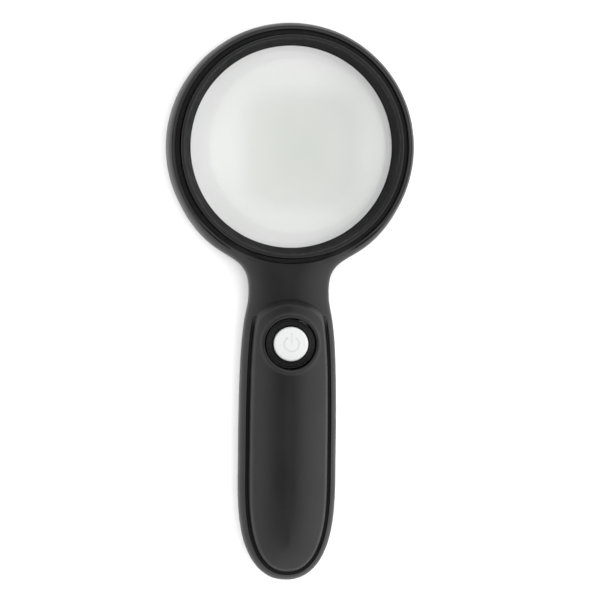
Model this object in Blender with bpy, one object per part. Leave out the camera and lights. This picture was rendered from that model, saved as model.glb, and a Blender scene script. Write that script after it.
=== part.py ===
"""Low vision magnifier: a hand lens with a lamp ring, a power button and two AAA cells in its handle.

It lies on its back. +Z points out of the front of the lens, +Y runs from the handle to the lens, and the
origin is the middle of the face it rests on. Sizes are in metres.
"""

import math

import bmesh
import bpy
from mathutils import Matrix, Vector

mm = 0.001

# Overall outline
LENGTH = 180.0 * mm
HEAD_RADIUS = 40.0 * mm
NECK_HALF_WIDTH = 12.9 * mm
GRIP_HALF_WIDTH = 15.8 * mm
NECK_GAP = 6.1 * mm  # from the ring's outline down to the narrowest place
GRIP_RISE = 47.0 * mm  # from the end of the handle up to the widest place of the grip
FLARE_ANGLE = math.radians(26.2)  # where the neck leaves the ring, below the lens axis
FLARE_PULL = 24.6 * mm
NECK_PULL = 14.0 * mm
FLANK_PULL = 10.3 * mm
FLANK_REACH = 44.0 * mm
END_LENGTH = 36.0 * mm
END_POWER_ACROSS = 2.2
END_POWER_ALONG = 3.05

# Heights
SPLIT_Z = 9.5 * mm
RIM_Z = 16.0 * mm
EDGE_INSET = 2.5 * mm  # how far the front edge is rounded in
DECK_UNDER_Z = 14.9 * mm
CLEARANCE = 0.3 * mm
WALL = 2.3 * mm
FLOOR = 2.2 * mm

# Lens and what holds it
RING_WIDTH = 5.5 * mm  # from the lens edge to the ring's outline
LENS_EDGE = 2.5 * mm
LENS_CURVE = 120.0 * mm
BEZEL_WALL = 1.65 * mm
BEZEL_LIP = 2.0 * mm  # how far the bezel reaches in over the lens edge
BEZEL_TOP_Z = 17.8 * mm
GROOVE_WIDTH = 1.35 * mm
GROOVE_DEPTH = 2.0 * mm
GASKET_THICK = 0.7 * mm
SEAT_WIDTH = 1.9 * mm

# Lamp channel in the back of the ring
CHANNEL_WALL = 1.1 * mm
CHANNEL_WIDTH = 3.8 * mm
CHANNEL_DEPTH = 5.4 * mm
RING_BOARD_THICK = 1.1 * mm
LAMP_COUNT = 6
LAMP_SIZE = (3.5 * mm, 2.6 * mm, 1.0 * mm)
DIFFUSER_THICK = 1.2 * mm
DIFFUSER_RECESS = 0.4 * mm

# Grip cover
COVER_INSET = 3.1 * mm
MOAT_WIDTH = 0.55 * mm
MOAT_DEPTH = 1.0 * mm
COVER_CROWN_Z = 22.0 * mm
COVER_NECK_Z = 20.4 * mm
COVER_END_Z = 18.2 * mm
COVER_EDGE = 1.2 * mm
COVER_WALL = 1.8 * mm
STEP_WIDTH = 6.15 * mm  # from the button's well to the cover's round end

# Button
BUTTON_GAP = 23.3 * mm  # from the ring's outline to the middle of the button
CAP_RADIUS = 5.5 * mm
CAP_TOP_Z = 20.2 * mm
CAP_HEIGHT = 3.0 * mm
CAP_WALL = 1.1 * mm
WELL_WALL = 1.4 * mm
WELL_GAP = 0.35 * mm  # between the seal ring and the well
SEAL_WIDTH = 2.1 * mm
SEAL_HEIGHT = 1.4 * mm
PLUNGER_RADIUS = 1.8 * mm
PRESS_TRAVEL = 1.2 * mm
SPRING_WIRE = 0.4 * mm
SPRING_RADIUS = 3.1 * mm
SPRING_TURNS = 2.5

# Electronics
BOARD_SIZE = (13.0 * mm, 25.0 * mm, 1.2 * mm)
BOARD_Z = 8.0 * mm  # underside
SWITCH_SIDE = 6.0 * mm
SWITCH_HEIGHT = 2.7 * mm
LEAD_RADIUS = 0.5 * mm

# Battery bay: two AAA cells side by side
CELL_RADIUS = 5.25 * mm
CELL_LENGTH = 44.5 * mm
CELL_Z = 9.3 * mm
CELL_GAP = 0.7 * mm
NUB_RADIUS = 1.9 * mm
NUB_LENGTH = 0.9 * mm
CONTACT_THICK = 0.4 * mm
SPRING_ROOM = 2.4 * mm
CELL_SPRING_WIDE = 3.0 * mm
CELL_SPRING_NARROW = 1.7 * mm
CELL_SPRING_TURNS = 3
CELL_SPRING_WIRE = 0.5 * mm
BAY_END_GAP = 12.4 * mm  # from the end of the handle to the bay's end wall
BAY_SIDE_GAP = 0.35 * mm
BAY_END_WALL = 1.5 * mm

# Battery door
DOOR_THICK = 2.4 * mm
DOOR_HALF_WIDTH = 11.4 * mm
DOVETAIL = 0.9 * mm  # how much wider the door is inside than outside
DOOR_OVERLAP = 2.0 * mm  # how far the door passes the bay towards the lens
DOOR_GROOVES = 4
DOOR_GROOVE_PITCH = 2.4 * mm
DOOR_GROOVE_RADIUS = 0.6 * mm

# Screws
SCREW_RADIUS = 1.1 * mm
SCREW_HEAD_RADIUS = 2.2 * mm
SCREW_HEAD_HEIGHT = 1.5 * mm
SCREW_RECESS = 2.6 * mm
SCREW_LENGTH = 10.0 * mm
BOSS_RADIUS = 2.9 * mm
BOSS_ROOT = 0.7 * mm  # how far a boss is sunk in the floor

# Worked out from the sizes above
head_y = LENGTH / 2 - HEAD_RADIUS
neck_y = head_y - HEAD_RADIUS - NECK_GAP
grip_y = -LENGTH / 2 + GRIP_RISE
button_y = head_y - HEAD_RADIUS - BUTTON_GAP
lens_radius = HEAD_RADIUS - RING_WIDTH
well_radius = CAP_RADIUS + CLEARANCE + SEAL_WIDTH + WELL_GAP
step_radius = well_radius + STEP_WIDTH
bay_low_y = -LENGTH / 2 + BAY_END_GAP
bay_high_y = bay_low_y + 2 * (CLEARANCE + CONTACT_THICK + CLEARANCE) + CELL_LENGTH + SPRING_ROOM
bay_half_width = CELL_GAP / 2 + 2 * CELL_RADIUS + BAY_SIDE_GAP
cell_x = CELL_GAP / 2 + CELL_RADIUS
door_high_y = bay_high_y + DOOR_OVERLAP
board_high_y = button_y + 0.6 * BOARD_SIZE[1]
board_low_y = board_high_y - BOARD_SIZE[1]
board_top_z = BOARD_Z + BOARD_SIZE[2]
groove_outer = HEAD_RADIUS - EDGE_INSET
bezel_outer = groove_outer - GROOVE_WIDTH - CLEARANCE
front_bore = bezel_outer + CLEARANCE
lens_low_z = SPLIT_Z - LENS_EDGE / 2
seat_z = lens_low_z - GASKET_THICK - 0.95 * mm
seat_inner = lens_radius - SEAT_WIDTH
channel_inner = seat_inner + CHANNEL_WALL
channel_outer = channel_inner + CHANNEL_WIDTH
handle_top_y = neck_y + 7.0 * mm  # where the hollow of the handle ends, towards the ring


# ---------------------------------------------------------------- outline


def bezier(p0, p1, p2, p3, count):
    """count points of a cubic curve, without its first one."""
    points = []
    for i in range(1, count + 1):
        t = i / count
        s = 1 - t
        x = s**3 * p0[0] + 3 * s * s * t * p1[0] + 3 * s * t * t * p2[0] + t**3 * p3[0]
        y = s**3 * p0[1] + 3 * s * s * t * p1[1] + 3 * s * t * t * p2[1] + t**3 * p3[1]
        points.append((x, y))
    return points


def half_outline():
    """The right side of the plan, from the top of the ring to the end of the handle."""
    points = []
    side_steps = 14
    angles = [
        math.pi / 2 * (1 - i / side_steps)
        for i in range(side_steps)
    ] + [-FLARE_ANGLE * i / 4 for i in range(5)]
    for angle in angles:
        points.append((HEAD_RADIUS * math.cos(angle), head_y + HEAD_RADIUS * math.sin(angle)))
    start = points[-1]
    along = (-math.sin(FLARE_ANGLE), -math.cos(FLARE_ANGLE))
    leave = (start[0] + FLARE_PULL * along[0], start[1] + FLARE_PULL * along[1])
    neck = (NECK_HALF_WIDTH, neck_y)
    points += bezier(start, leave, (neck[0], neck_y + NECK_PULL), neck, 9)
    grip = (GRIP_HALF_WIDTH, grip_y)
    points += bezier(neck, (neck[0], neck_y - FLANK_PULL), (grip[0], grip_y + FLANK_REACH), grip, 6)
    end_top = -LENGTH / 2 + END_LENGTH
    end_steps = 10
    for i in range(end_steps + 1):
        turn = math.pi / 2 * i / end_steps
        x = GRIP_HALF_WIDTH * math.cos(turn) ** (2 / END_POWER_ACROSS)
        y = end_top - END_LENGTH * math.sin(turn) ** (2 / END_POWER_ALONG)
        if y < points[-1][1] - 0.01 * mm:
            points.append((x, y))
    points[-1] = (0.0, -LENGTH / 2)
    return points


def offset_half(inset):
    """The right side of the plan moved in. inset is a function of y."""
    points = half_outline()
    moved = []
    for i, (x, y) in enumerate(points):
        if i in (0, len(points) - 1):
            normal = (0.0, 1.0 if i == 0 else -1.0)
        else:
            dx = points[i + 1][0] - points[i - 1][0]
            dy = points[i + 1][1] - points[i - 1][1]
            size = math.hypot(dx, dy)
            normal = (-dy / size, dx / size)
        depth = inset(y)
        moved.append((max(x - normal[0] * depth, 0.0), y - normal[1] * depth))
    moved[0] = (0.0, moved[0][1])
    moved[-1] = (0.0, moved[-1][1])
    return moved


def plan_ring(inset):
    """The whole plan moved in, as a closed loop that runs anticlockwise seen from +Z."""
    right = offset_half(inset)
    left = [(-x, y) for x, y in right[1:-1]]
    return left + [right[-1]] + right[-2:0:-1] + [right[0]]


def handle_ring(inset, top_y, below=None):
    """The plan of the handle alone, cut straight across at top_y, from the plan's points lower than below."""
    limit = top_y if below is None else below
    kept = [moved for moved, plain in zip(offset_half(inset), half_outline()) if plain[1] < limit]
    left = [(-x, y) for x, y in kept[:-1]]
    first = (kept[0][0], max(top_y, kept[0][1] + 0.01 * mm))
    return [(-first[0], first[1])] + left + [kept[-1]] + kept[-2::-1] + [first]


def half_width(y, inset):
    """How wide the plan is at y on one side, moved in by inset."""
    right = offset_half(lambda place: inset)
    for (x0, y0), (x1, y1) in zip(right, right[1:]):
        if y1 <= y <= y0 and y0 > y1:
            return x0 + (x1 - x0) * (y0 - y) / (y0 - y1)
    return 0.0


def head_or_grip(on_head, on_grip):
    """An inset that changes smoothly from the ring to the grip."""
    high = neck_y + 12.0 * mm
    low = neck_y - 14.0 * mm

    def inset(y):
        t = min(max((high - y) / (high - low), 0.0), 1.0)
        return on_head + (on_grip - on_head) * t * t * (3 - 2 * t)

    return inset


# ---------------------------------------------------------------- meshes


def new_object(name, mesh_data, look, place=(0, 0, 0), parent=None):
    mesh = bpy.data.meshes.new(name)
    bmesh.ops.recalc_face_normals(mesh_data, faces=mesh_data.faces[:])
    mesh_data.to_mesh(mesh)
    mesh_data.free()
    obj = bpy.data.objects.new(name, mesh)
    bpy.context.scene.collection.objects.link(obj)
    obj.location = place
    if parent is not None:
        obj.parent = parent
        obj.location = Vector(place) - parent.location
    if look is not None:
        mesh.materials.append(look)
    mesh.shade_smooth()
    mesh.set_sharp_from_angle(angle=math.radians(35))
    return obj


def stack(rings):
    """A closed solid through level rings, each (loop of (x, y), z), lowest first."""
    bm = bmesh.new()
    loops = [[bm.verts.new((x, y, z)) for x, y in loop] for loop, z in rings]
    for low, high in zip(loops, loops[1:]):
        for i in range(len(low)):
            j = (i + 1) % len(low)
            bm.faces.new((low[i], low[j], high[j], high[i]))
    bm.faces.new(loops[0][::-1])
    bm.faces.new(loops[-1])
    return bm


def turned(profile, steps=60):
    """A closed ring or disc turned about Z. profile is a loop of (radius, z)."""
    bm = bmesh.new()
    verts = [bm.verts.new((r, 0, z)) for r, z in profile]
    closed = all(r > 1e-7 for r, z in profile)
    edges = [bm.edges.new((a, b)) for a, b in zip(verts, verts[1:])]
    if closed:
        edges.append(bm.edges.new((verts[-1], verts[0])))
    bmesh.ops.spin(
        bm, geom=verts + edges, cent=(0, 0, 0), axis=(0, 0, 1), angle=2 * math.pi, steps=steps, use_merge=True
    )
    bmesh.ops.remove_doubles(bm, verts=bm.verts[:], dist=1e-7)
    return bm


def block(low, high, bevel=0.0):
    """A box between two corners, with its edges rounded by bevel."""
    bm = bmesh.new()
    bmesh.ops.create_cube(bm, size=1.0)
    size = Vector(high) - Vector(low)
    bmesh.ops.transform(bm, matrix=Matrix.Diagonal((*size, 1)), verts=bm.verts[:])
    bmesh.ops.translate(bm, vec=(Vector(low) + Vector(high)) / 2, verts=bm.verts[:])
    if bevel:
        bmesh.ops.bevel(bm, geom=bm.edges[:], offset=bevel, segments=1, affect="EDGES")
    return bm


def rod(radius, z_low, z_high, steps=24):
    return turned([(0, z_low), (radius, z_low), (radius, z_high), (0, z_high)], steps)


def bored_boss(radius, hole_radius, root_z, mouth_z, hole_end_z):
    """A round post on a wall at root_z, with a blind hole from its mouth."""
    profile = [(0, root_z), (radius, root_z), (radius, mouth_z), (hole_radius, mouth_z)]
    return turned(profile + [(hole_radius, hole_end_z), (0, hole_end_z)], 24)


def tube_along(points, radius, sides=6):
    """A round closed tube along a list of points."""
    bm = bmesh.new()
    loops = []
    side = None
    for i, point in enumerate(points):
        ahead = Vector(points[min(i + 1, len(points) - 1)]) - Vector(points[max(i - 1, 0)])
        ahead.normalize()
        if side is None:
            side = ahead.orthogonal().normalized()
        side = (side - ahead * side.dot(ahead)).normalized()
        up = ahead.cross(side)
        loop = []
        for k in range(sides):
            angle = 2 * math.pi * k / sides
            loop.append(
                bm.verts.new(Vector(point) + radius * (math.cos(angle) * side + math.sin(angle) * up))
            )
        loops.append(loop)
    for a, b in zip(loops, loops[1:]):
        for k in range(sides):
            bm.faces.new((a[k], a[(k + 1) % sides], b[(k + 1) % sides], b[k]))
    bm.faces.new(loops[0][::-1])
    bm.faces.new(loops[-1])
    return bm


def smooth_points(points, per_span=3):
    """Points of a smooth curve through the given ones. A pull is never longer than the spans beside it."""
    knots = [Vector(p) for p in points]
    pulls = []
    for i, knot in enumerate(knots):
        before = knots[max(i - 1, 0)]
        after = knots[min(i + 1, len(knots) - 1)]
        reach = min(size for size in ((knot - before).length, (after - knot).length) if size > 0)
        pulls.append((after - before).normalized() * reach)
    found = []
    for a, b, pull_a, pull_b in zip(knots, knots[1:], pulls, pulls[1:]):
        for i in range(per_span):
            t = i / per_span
            ends = (2 * t**3 - 3 * t * t + 1) * a + (3 * t * t - 2 * t**3) * b
            found.append(ends + (t**3 - 2 * t * t + t) * pull_a + (t**3 - t * t) * pull_b)
    found.append(knots[-1])
    return found


def coil_points(radii, start, end, turns, per_turn=12):
    """Points along a coil about Z, whose radius goes from the first of radii to the second."""
    points = []
    count = round(turns * per_turn)
    for i in range(count + 1):
        angle = 2 * math.pi * turns * i / count
        radius = radii[0] + (radii[1] - radii[0]) * i / count
        points.append(
            (radius * math.cos(angle), radius * math.sin(angle), start + (end - start) * i / count)
        )
    return points


def combine(obj, operation, *others):
    """Cuts, joins or keeps the overlap of obj with each of the helper objects."""
    for other in others:
        other.hide_render = True
        other.display_type = "WIRE"
        modifier = obj.modifiers.new(f"{operation.lower()}_{other.name}", "BOOLEAN")
        modifier.operation = operation
        modifier.solver = "EXACT"
        modifier.object = other
    return obj


def helper(name, mesh_data, place=(0, 0, 0)):
    """A cutter or a piece to join on. It isn't part of the object by itself."""
    return new_object(f"helper_{name}", mesh_data, None, place)


def look(name, colour, roughness, metallic=0.0, transmission=0.0):
    material = bpy.data.materials.new(name)
    material.use_nodes = True
    shader = material.node_tree.nodes["Principled BSDF"]
    shader.inputs["Base Color"].default_value = (*colour, 1)
    shader.inputs["Roughness"].default_value = roughness
    shader.inputs["Metallic"].default_value = metallic
    shader.inputs["Transmission Weight"].default_value = transmission
    return material


# ---------------------------------------------------------------- places


def screw_places():
    """Where the four casing screws stand, as (x, y)."""
    neck_screw_y = neck_y + 3.2 * mm
    neck_screw_x = half_width(neck_screw_y, WALL) - BOSS_RADIUS + 0.4 * mm
    grip_screw_y = door_high_y + SCREW_HEAD_RADIUS + 1.5 * mm
    grip_screw_x = half_width(grip_screw_y, WALL) - BOSS_RADIUS + 0.4 * mm
    places = []
    for x, y in ((neck_screw_x, neck_screw_y), (grip_screw_x, grip_screw_y)):
        places += [(-x, y), (x, y)]
    return places


def board_screw_places():
    x = BOARD_SIZE[0] / 2 - 2.6 * mm
    return [(-x, board_high_y - 4.5 * mm), (x, board_low_y + 4.1 * mm)]


# ---------------------------------------------------------------- casing


def bay_block(name, z_low, z_high):
    """The space of the battery bay between two heights."""
    low = (-bay_half_width, bay_low_y, z_low)
    high = (bay_half_width, bay_high_y, z_high)
    return helper(name, block(low, high))


def wire_notch(name):
    """The way for the cell wires through the bay's end wall, into both halves."""
    half = bay_half_width - 2 * mm
    low = (-half, bay_high_y - 1 * mm, CELL_Z - 2 * mm)
    return helper(name, block(low, (half, bay_high_y + BAY_END_WALL + 1 * mm, CELL_Z + 3.4 * mm)))


def front_rings():
    """Level rings of the outside of the front half, from the split to the front edge."""
    rise = RIM_Z - SPLIT_Z
    rings = [(plan_ring(lambda y: 0.0), SPLIT_Z + CLEARANCE / 2)]
    for share in (0.35, 0.65, 0.87, 1.0):
        inset = EDGE_INSET * (1 - math.sqrt(max(1 - share * share, 0.0)))
        rings.append((plan_ring(lambda y, inset=inset: inset), SPLIT_Z + rise * share))
    return rings


def make_front_shell(look_of):
    shell = new_object("front_shell", stack(front_rings()), look_of)
    above = RIM_Z + 3 * mm
    below = SPLIT_Z - 3 * mm
    bore = turned(
        [
            (0, below), (front_bore, below), (front_bore, RIM_Z - GROOVE_DEPTH),
            (groove_outer, RIM_Z - GROOVE_DEPTH),
        ]
        + [(groove_outer, above), (0, above)]
    )
    keep = handle_top_y - 2.5 * mm
    hollow = [
        (handle_ring(lambda y: WALL, handle_top_y, keep), z)
        for z in (below, DECK_UNDER_Z - 3.2 * mm)
    ]
    hollow.append((handle_ring(lambda y: WALL + 1.9 * mm, handle_top_y - 1.9 * mm, keep), DECK_UNDER_Z))
    hollow = helper("front_hollow", stack(hollow))
    bay_walls = helper(
        "front_bay_keep", block((-1, bay_low_y - 20 * mm, -1), (1, bay_high_y + BAY_END_WALL, 1))
    )
    combine(hollow, "DIFFERENCE", bay_walls)
    moat_out = handle_ring(lambda y: COVER_INSET - MOAT_WIDTH, button_y)
    moat_in = handle_ring(lambda y: COVER_INSET, button_y + 1 * mm)
    moat = helper("moat", stack([(moat_out, RIM_Z - MOAT_DEPTH), (moat_out, above)]))
    moat_core = helper("moat_core", stack([(moat_in, below), (moat_in, above + 1 * mm)]))
    combine(moat, "DIFFERENCE", moat_core)
    combine(shell, "DIFFERENCE", helper("front_bore", bore, (0, head_y, 0)), hollow)
    combine(
        shell, "DIFFERENCE", bay_block("front_bay", below, DECK_UNDER_Z), moat,
        wire_notch("front_wire_way"),
    )
    combine(
        shell, "DIFFERENCE",
        helper("plunger_hole", rod(PLUNGER_RADIUS + 2 * CLEARANCE, below, above), (0, button_y, 0)),
    )
    for i, (x, y) in enumerate(screw_places()):
        tip = SCREW_RECESS + SCREW_LENGTH + CLEARANCE
        boss = bored_boss(
            BOSS_RADIUS, SCREW_RADIUS + CLEARANCE, DECK_UNDER_Z + 0.5 * mm, SPLIT_Z + CLEARANCE, tip
        )
        combine(shell, "UNION", helper(f"front_boss_{i}", boss, (x, y, 0)))
    return shell


def rear_rings():
    """Level rings of the outside of the rear half, from the face it rests on to the split."""
    levels = ((0.0, 1.3, 4.2), (0.7, 0.6, 2.3), (2.2, 0.15, 1.1), (4.5, 0.0, 0.35), (7.0, 0.0, 0.0))
    rings = []
    for z, on_head, on_grip in levels:
        rings.append((plan_ring(head_or_grip(on_head * mm, on_grip * mm)), z * mm))
    rings.append((plan_ring(lambda y: 0.0), SPLIT_Z - CLEARANCE / 2))
    return rings


def door_wedge(name, slack):
    """The dovetail space that the battery door fills, grown by slack."""
    low_y = -LENGTH / 2 - 5 * mm
    high_y = door_high_y + slack
    slope = DOVETAIL / DOOR_THICK
    rings = []
    for z in (-1 * mm, DOOR_THICK + slack):
        x = DOOR_HALF_WIDTH + slack + slope * z
        rings.append(([(-x, high_y), (-x, low_y), (x, low_y), (x, high_y)], z))
    return helper(name, stack(rings))


def make_rear_shell(look_of):
    shell = new_object("rear_shell", stack(rear_rings()), look_of)
    top = SPLIT_Z - CLEARANCE / 2
    above = SPLIT_Z + 3 * mm
    pocket = lens_radius + CLEARANCE
    bore = [(0, -1 * mm), (seat_inner, -1 * mm), (seat_inner, seat_z), (pocket, seat_z)]
    bore = turned(bore + [(pocket, above), (0, above)])
    channel = turned(
        [
            (channel_inner, -1 * mm), (channel_outer, -1 * mm), (channel_outer, CHANNEL_DEPTH),
            (channel_inner, CHANNEL_DEPTH),
        ]
    )
    keep = handle_top_y - 2.5 * mm
    hollow = [(handle_ring(lambda y: WALL + 1.6 * mm, handle_top_y - 1.6 * mm, keep), FLOOR)]
    hollow += [(handle_ring(lambda y: WALL, handle_top_y, keep), z) for z in (FLOOR + 3 * mm, above)]
    hollow = helper("rear_hollow", stack(hollow))
    bay_walls = helper(
        "rear_bay_keep", block((-1, bay_low_y - 20 * mm, -1), (1, bay_high_y + BAY_END_WALL, 1))
    )
    combine(hollow, "DIFFERENCE", bay_walls)
    combine(
        shell, "DIFFERENCE", helper("rear_bore", bore, (0, head_y, 0)),
        helper("channel", channel, (0, head_y, 0)),
    )
    combine(
        shell, "DIFFERENCE", hollow, bay_block("rear_bay", DOOR_THICK, above),
        door_wedge("door_way", CLEARANCE),
    )
    recess = SCREW_HEAD_RADIUS + CLEARANCE
    hole = SCREW_RADIUS + CLEARANCE
    seat = SCREW_RECESS + CLEARANCE
    root = FLOOR - BOSS_ROOT
    mouth = top - CLEARANCE / 2
    sleeve = [
        (BOSS_RADIUS, root), (BOSS_RADIUS, mouth), (hole, mouth), (hole, seat), (recess, seat),
        (recess, root),
    ]
    for i, (x, y) in enumerate(screw_places()):
        way = rod((recess + BOSS_RADIUS) / 2, -1 * mm, FLOOR + 1 * mm)
        combine(shell, "DIFFERENCE", helper(f"rear_screw_way_{i}", way, (x, y, 0)))
        combine(shell, "UNION", helper(f"rear_boss_{i}", turned(sleeve, 24), (x, y, 0)))
    for i, (x, y) in enumerate(board_screw_places()):
        boss = bored_boss(
            BOSS_RADIUS - 0.5 * mm, 0.8 * SCREW_RADIUS + CLEARANCE, FLOOR - 0.8 * mm,
            BOARD_Z - CLEARANCE, FLOOR + 0.6 * mm,
        )
        combine(shell, "UNION", helper(f"board_boss_{i}", boss, (x, y, 0)))
    wire_way = block(
        (-3.2 * mm, handle_top_y - 3 * mm, 3.3 * mm),
        (3.2 * mm, head_y - channel_inner - 1.5 * mm, CHANNEL_DEPTH - 0.2 * mm),
    )
    combine(shell, "DIFFERENCE", helper("lamp_wire_way", wire_way))
    combine(shell, "DIFFERENCE", wire_notch("rear_wire_way"))
    return shell


def make_door(look_of, pivot):
    door = new_object("battery_door", stack(rear_rings()), look_of, (0, 0, 0), pivot)
    combine(door, "INTERSECT", door_wedge("door_shape", 0.0))
    for i in range(DOOR_GROOVES):
        y = bay_low_y + 3 * mm + i * DOOR_GROOVE_PITCH
        groove = rod(DOOR_GROOVE_RADIUS, -6 * mm, 6 * mm, 12)
        bmesh.ops.rotate(
            groove, cent=(0, 0, 0), matrix=Matrix.Rotation(math.pi / 2, 3, "Y"), verts=groove.verts[:]
        )
        combine(door, "DIFFERENCE", helper(f"door_groove_{i}", groove, (0, y, -0.15 * mm)))
    return door


# ---------------------------------------------------------------- grip cover and button


def cover_height(y):
    """Height of the grip cover's middle line."""
    start = button_y + step_radius
    crest = start - 26 * mm
    tail = -LENGTH / 2 + END_LENGTH + 4 * mm
    if y > crest:
        t = (start - y) / (start - crest)
        return COVER_NECK_Z + (COVER_CROWN_Z - COVER_NECK_Z) * math.sin(min(max(t, 0), 1) * math.pi / 2)
    if y > tail:
        return COVER_CROWN_Z
    t = (tail - y) / (tail + LENGTH / 2 - COVER_INSET)
    return COVER_END_Z + (COVER_CROWN_Z - COVER_END_Z) * math.sqrt(max(1 - t**2.4, 0))


def cover_body(inset, lowered, base_z):
    """The domed grip cover as sections across the handle, before its neck end is cut to an arc."""
    bm = bmesh.new()
    top_y = button_y + step_radius + 4 * mm
    low_y = -LENGTH / 2 + inset
    across = 9
    loops = []
    sections = 18
    for i in range(sections + 1):
        y = top_y + (low_y + 0.05 * mm - top_y) * math.sin(math.pi / 2 * i / sections)
        width = max(half_width(y, inset), 0.25 * mm)
        edge_z = min(RIM_Z + CLEARANCE + COVER_EDGE, cover_height(y)) - lowered
        loop = [bm.verts.new((-width, y, base_z)), bm.verts.new((width, y, base_z))]
        for k in range(across + 1):
            x = width * math.cos(math.pi * k / across)
            rise = math.sqrt(1 - abs(x / width) ** 2.2) if abs(x) < width else 0.0
            loop.append(bm.verts.new((x, y, edge_z + (cover_height(y) - lowered - edge_z) * rise)))
        loops.append(loop)
    count = len(loops[0])
    for a, b in zip(loops, loops[1:]):
        for k in range(count):
            bm.faces.new((a[k], a[(k + 1) % count], b[(k + 1) % count], b[k]))
    bm.faces.new(loops[0])
    bm.faces.new(loops[-1][::-1])
    return bm


def arc_end_cutter(name, radius):
    """Everything beyond an arc about the button, towards the lens."""
    wide = HEAD_RADIUS
    loop = [(-wide, button_y), (-radius, button_y)]
    for i in range(1, 24):
        angle = math.pi - math.pi * i / 24
        loop.append((radius * math.cos(angle), button_y + radius * math.sin(angle)))
    loop += [(radius, button_y), (wide, button_y), (wide, button_y + wide), (-wide, button_y + wide)]
    return helper(name, stack([(loop, 0.0), (loop, COVER_CROWN_Z + 5 * mm)]))


def make_grip_cover(look_of):
    base_z = RIM_Z + CLEARANCE
    cover = new_object("grip_cover", cover_body(COVER_INSET, 0.0, base_z), look_of)
    inside = helper("cover_inside", cover_body(COVER_INSET + COVER_WALL, COVER_WALL, base_z - 2.3 * mm))
    combine(inside, "DIFFERENCE", arc_end_cutter("inside_end", step_radius - COVER_WALL))
    well_wall = helper(
        "well_wall", rod(well_radius + WELL_WALL, base_z - 4 * mm, COVER_CROWN_Z + 4 * mm, 48),
        (0, button_y, 0),
    )
    combine(inside, "DIFFERENCE", well_wall)
    combine(cover, "DIFFERENCE", arc_end_cutter("cover_end", step_radius), inside)
    well = helper("well", rod(well_radius, base_z - 5 * mm, COVER_CROWN_Z + 5 * mm, 48), (0, button_y, 0))
    combine(cover, "DIFFERENCE", well)
    return cover


def make_button(looks, pivot):
    low = CAP_TOP_Z - CAP_HEIGHT
    inner = CAP_RADIUS - CAP_WALL
    ceiling = CAP_TOP_Z - CAP_WALL - 0.3 * mm
    profile = [
        (0, ceiling), (inner, ceiling), (inner, low), (CAP_RADIUS, low),
        (CAP_RADIUS, CAP_TOP_Z - 0.6 * mm),
    ]
    profile += [
        (CAP_RADIUS - 0.2 * mm, CAP_TOP_Z - 0.2 * mm), (CAP_RADIUS - 0.7 * mm, CAP_TOP_Z),
        (0, CAP_TOP_Z),
    ]
    at = (0, button_y, 0)
    new_object("button_cap", turned(profile, 32), looks["white"], at, pivot)
    deck = RIM_Z + CLEARANCE
    plunger_low = board_top_z + CLEARANCE + SWITCH_HEIGHT + CLEARANCE + PRESS_TRAVEL
    stem = [
        (0, plunger_low), (PLUNGER_RADIUS, plunger_low), (PLUNGER_RADIUS, ceiling - CLEARANCE),
        (0, ceiling - CLEARANCE),
    ]
    new_object("switch_plunger", turned(stem, 20), looks["white"], at, pivot)
    seal_in = CAP_RADIUS + CLEARANCE
    seal = [
        (seal_in, deck), (seal_in + SEAL_WIDTH, deck),
        (seal_in + SEAL_WIDTH, deck + SEAL_HEIGHT - 0.4 * mm),
    ]
    seal += [
        (seal_in + SEAL_WIDTH - 0.4 * mm, deck + SEAL_HEIGHT), (seal_in + 0.3 * mm, deck + SEAL_HEIGHT)
    ]
    seal += [(seal_in, deck + SEAL_HEIGHT - 0.3 * mm)]
    new_object("button_seal_ring", turned(seal, 36), looks["rubber"], at)
    start = deck + SPRING_WIRE / 2
    end = ceiling - CLEARANCE - SPRING_WIRE / 2
    coil = tube_along(
        coil_points((SPRING_RADIUS, SPRING_RADIUS), start, end, SPRING_TURNS), SPRING_WIRE / 2
    )
    new_object("button_spring", coil, looks["steel"], at)


# ---------------------------------------------------------------- lens and lamps


def lens_rise(radius):
    """How far the lens face stands above its edge at a radius."""
    return math.sqrt(LENS_CURVE**2 - radius**2) - math.sqrt(LENS_CURVE**2 - lens_radius**2)


def make_lens(look_of):
    steps = 6
    top = []
    for i in range(steps + 1):
        radius = lens_radius * (1 - i / steps)
        top.append((radius, LENS_EDGE / 2 + lens_rise(radius)))
    bottom = [(radius, -z) for radius, z in reversed(top)]
    new_object("lens", turned(bottom + top), look_of, (0, head_y, SPLIT_Z))


def make_bezel(look_of):
    lip = lens_radius - BEZEL_LIP
    low = SPLIT_Z + LENS_EDGE / 2 + CLEARANCE
    profile = [
        (bezel_outer, low), (bezel_outer, BEZEL_TOP_Z - 0.5 * mm),
        (bezel_outer - 0.35 * mm, BEZEL_TOP_Z),
    ]
    profile += [(bezel_outer - 0.8 * mm, BEZEL_TOP_Z), (bezel_outer - 1.3 * mm, BEZEL_TOP_Z - 0.5 * mm)]
    profile += [(lip, low + lens_rise(lip) + 0.9 * mm), (lip, low + lens_rise(lip)), (lens_radius, low)]
    new_object("lens_bezel", turned(profile), look_of, (0, head_y, 0))


def make_gasket(look_of):
    inner = seat_inner + 0.4 * mm
    outer = lens_radius - 0.1 * mm
    low = seat_z + CLEARANCE
    high = low + GASKET_THICK
    new_object(
        "lens_gasket", turned([(inner, low), (outer, low), (outer, high), (inner, high)], 48), look_of,
        (0, head_y, 0),
    )


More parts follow.
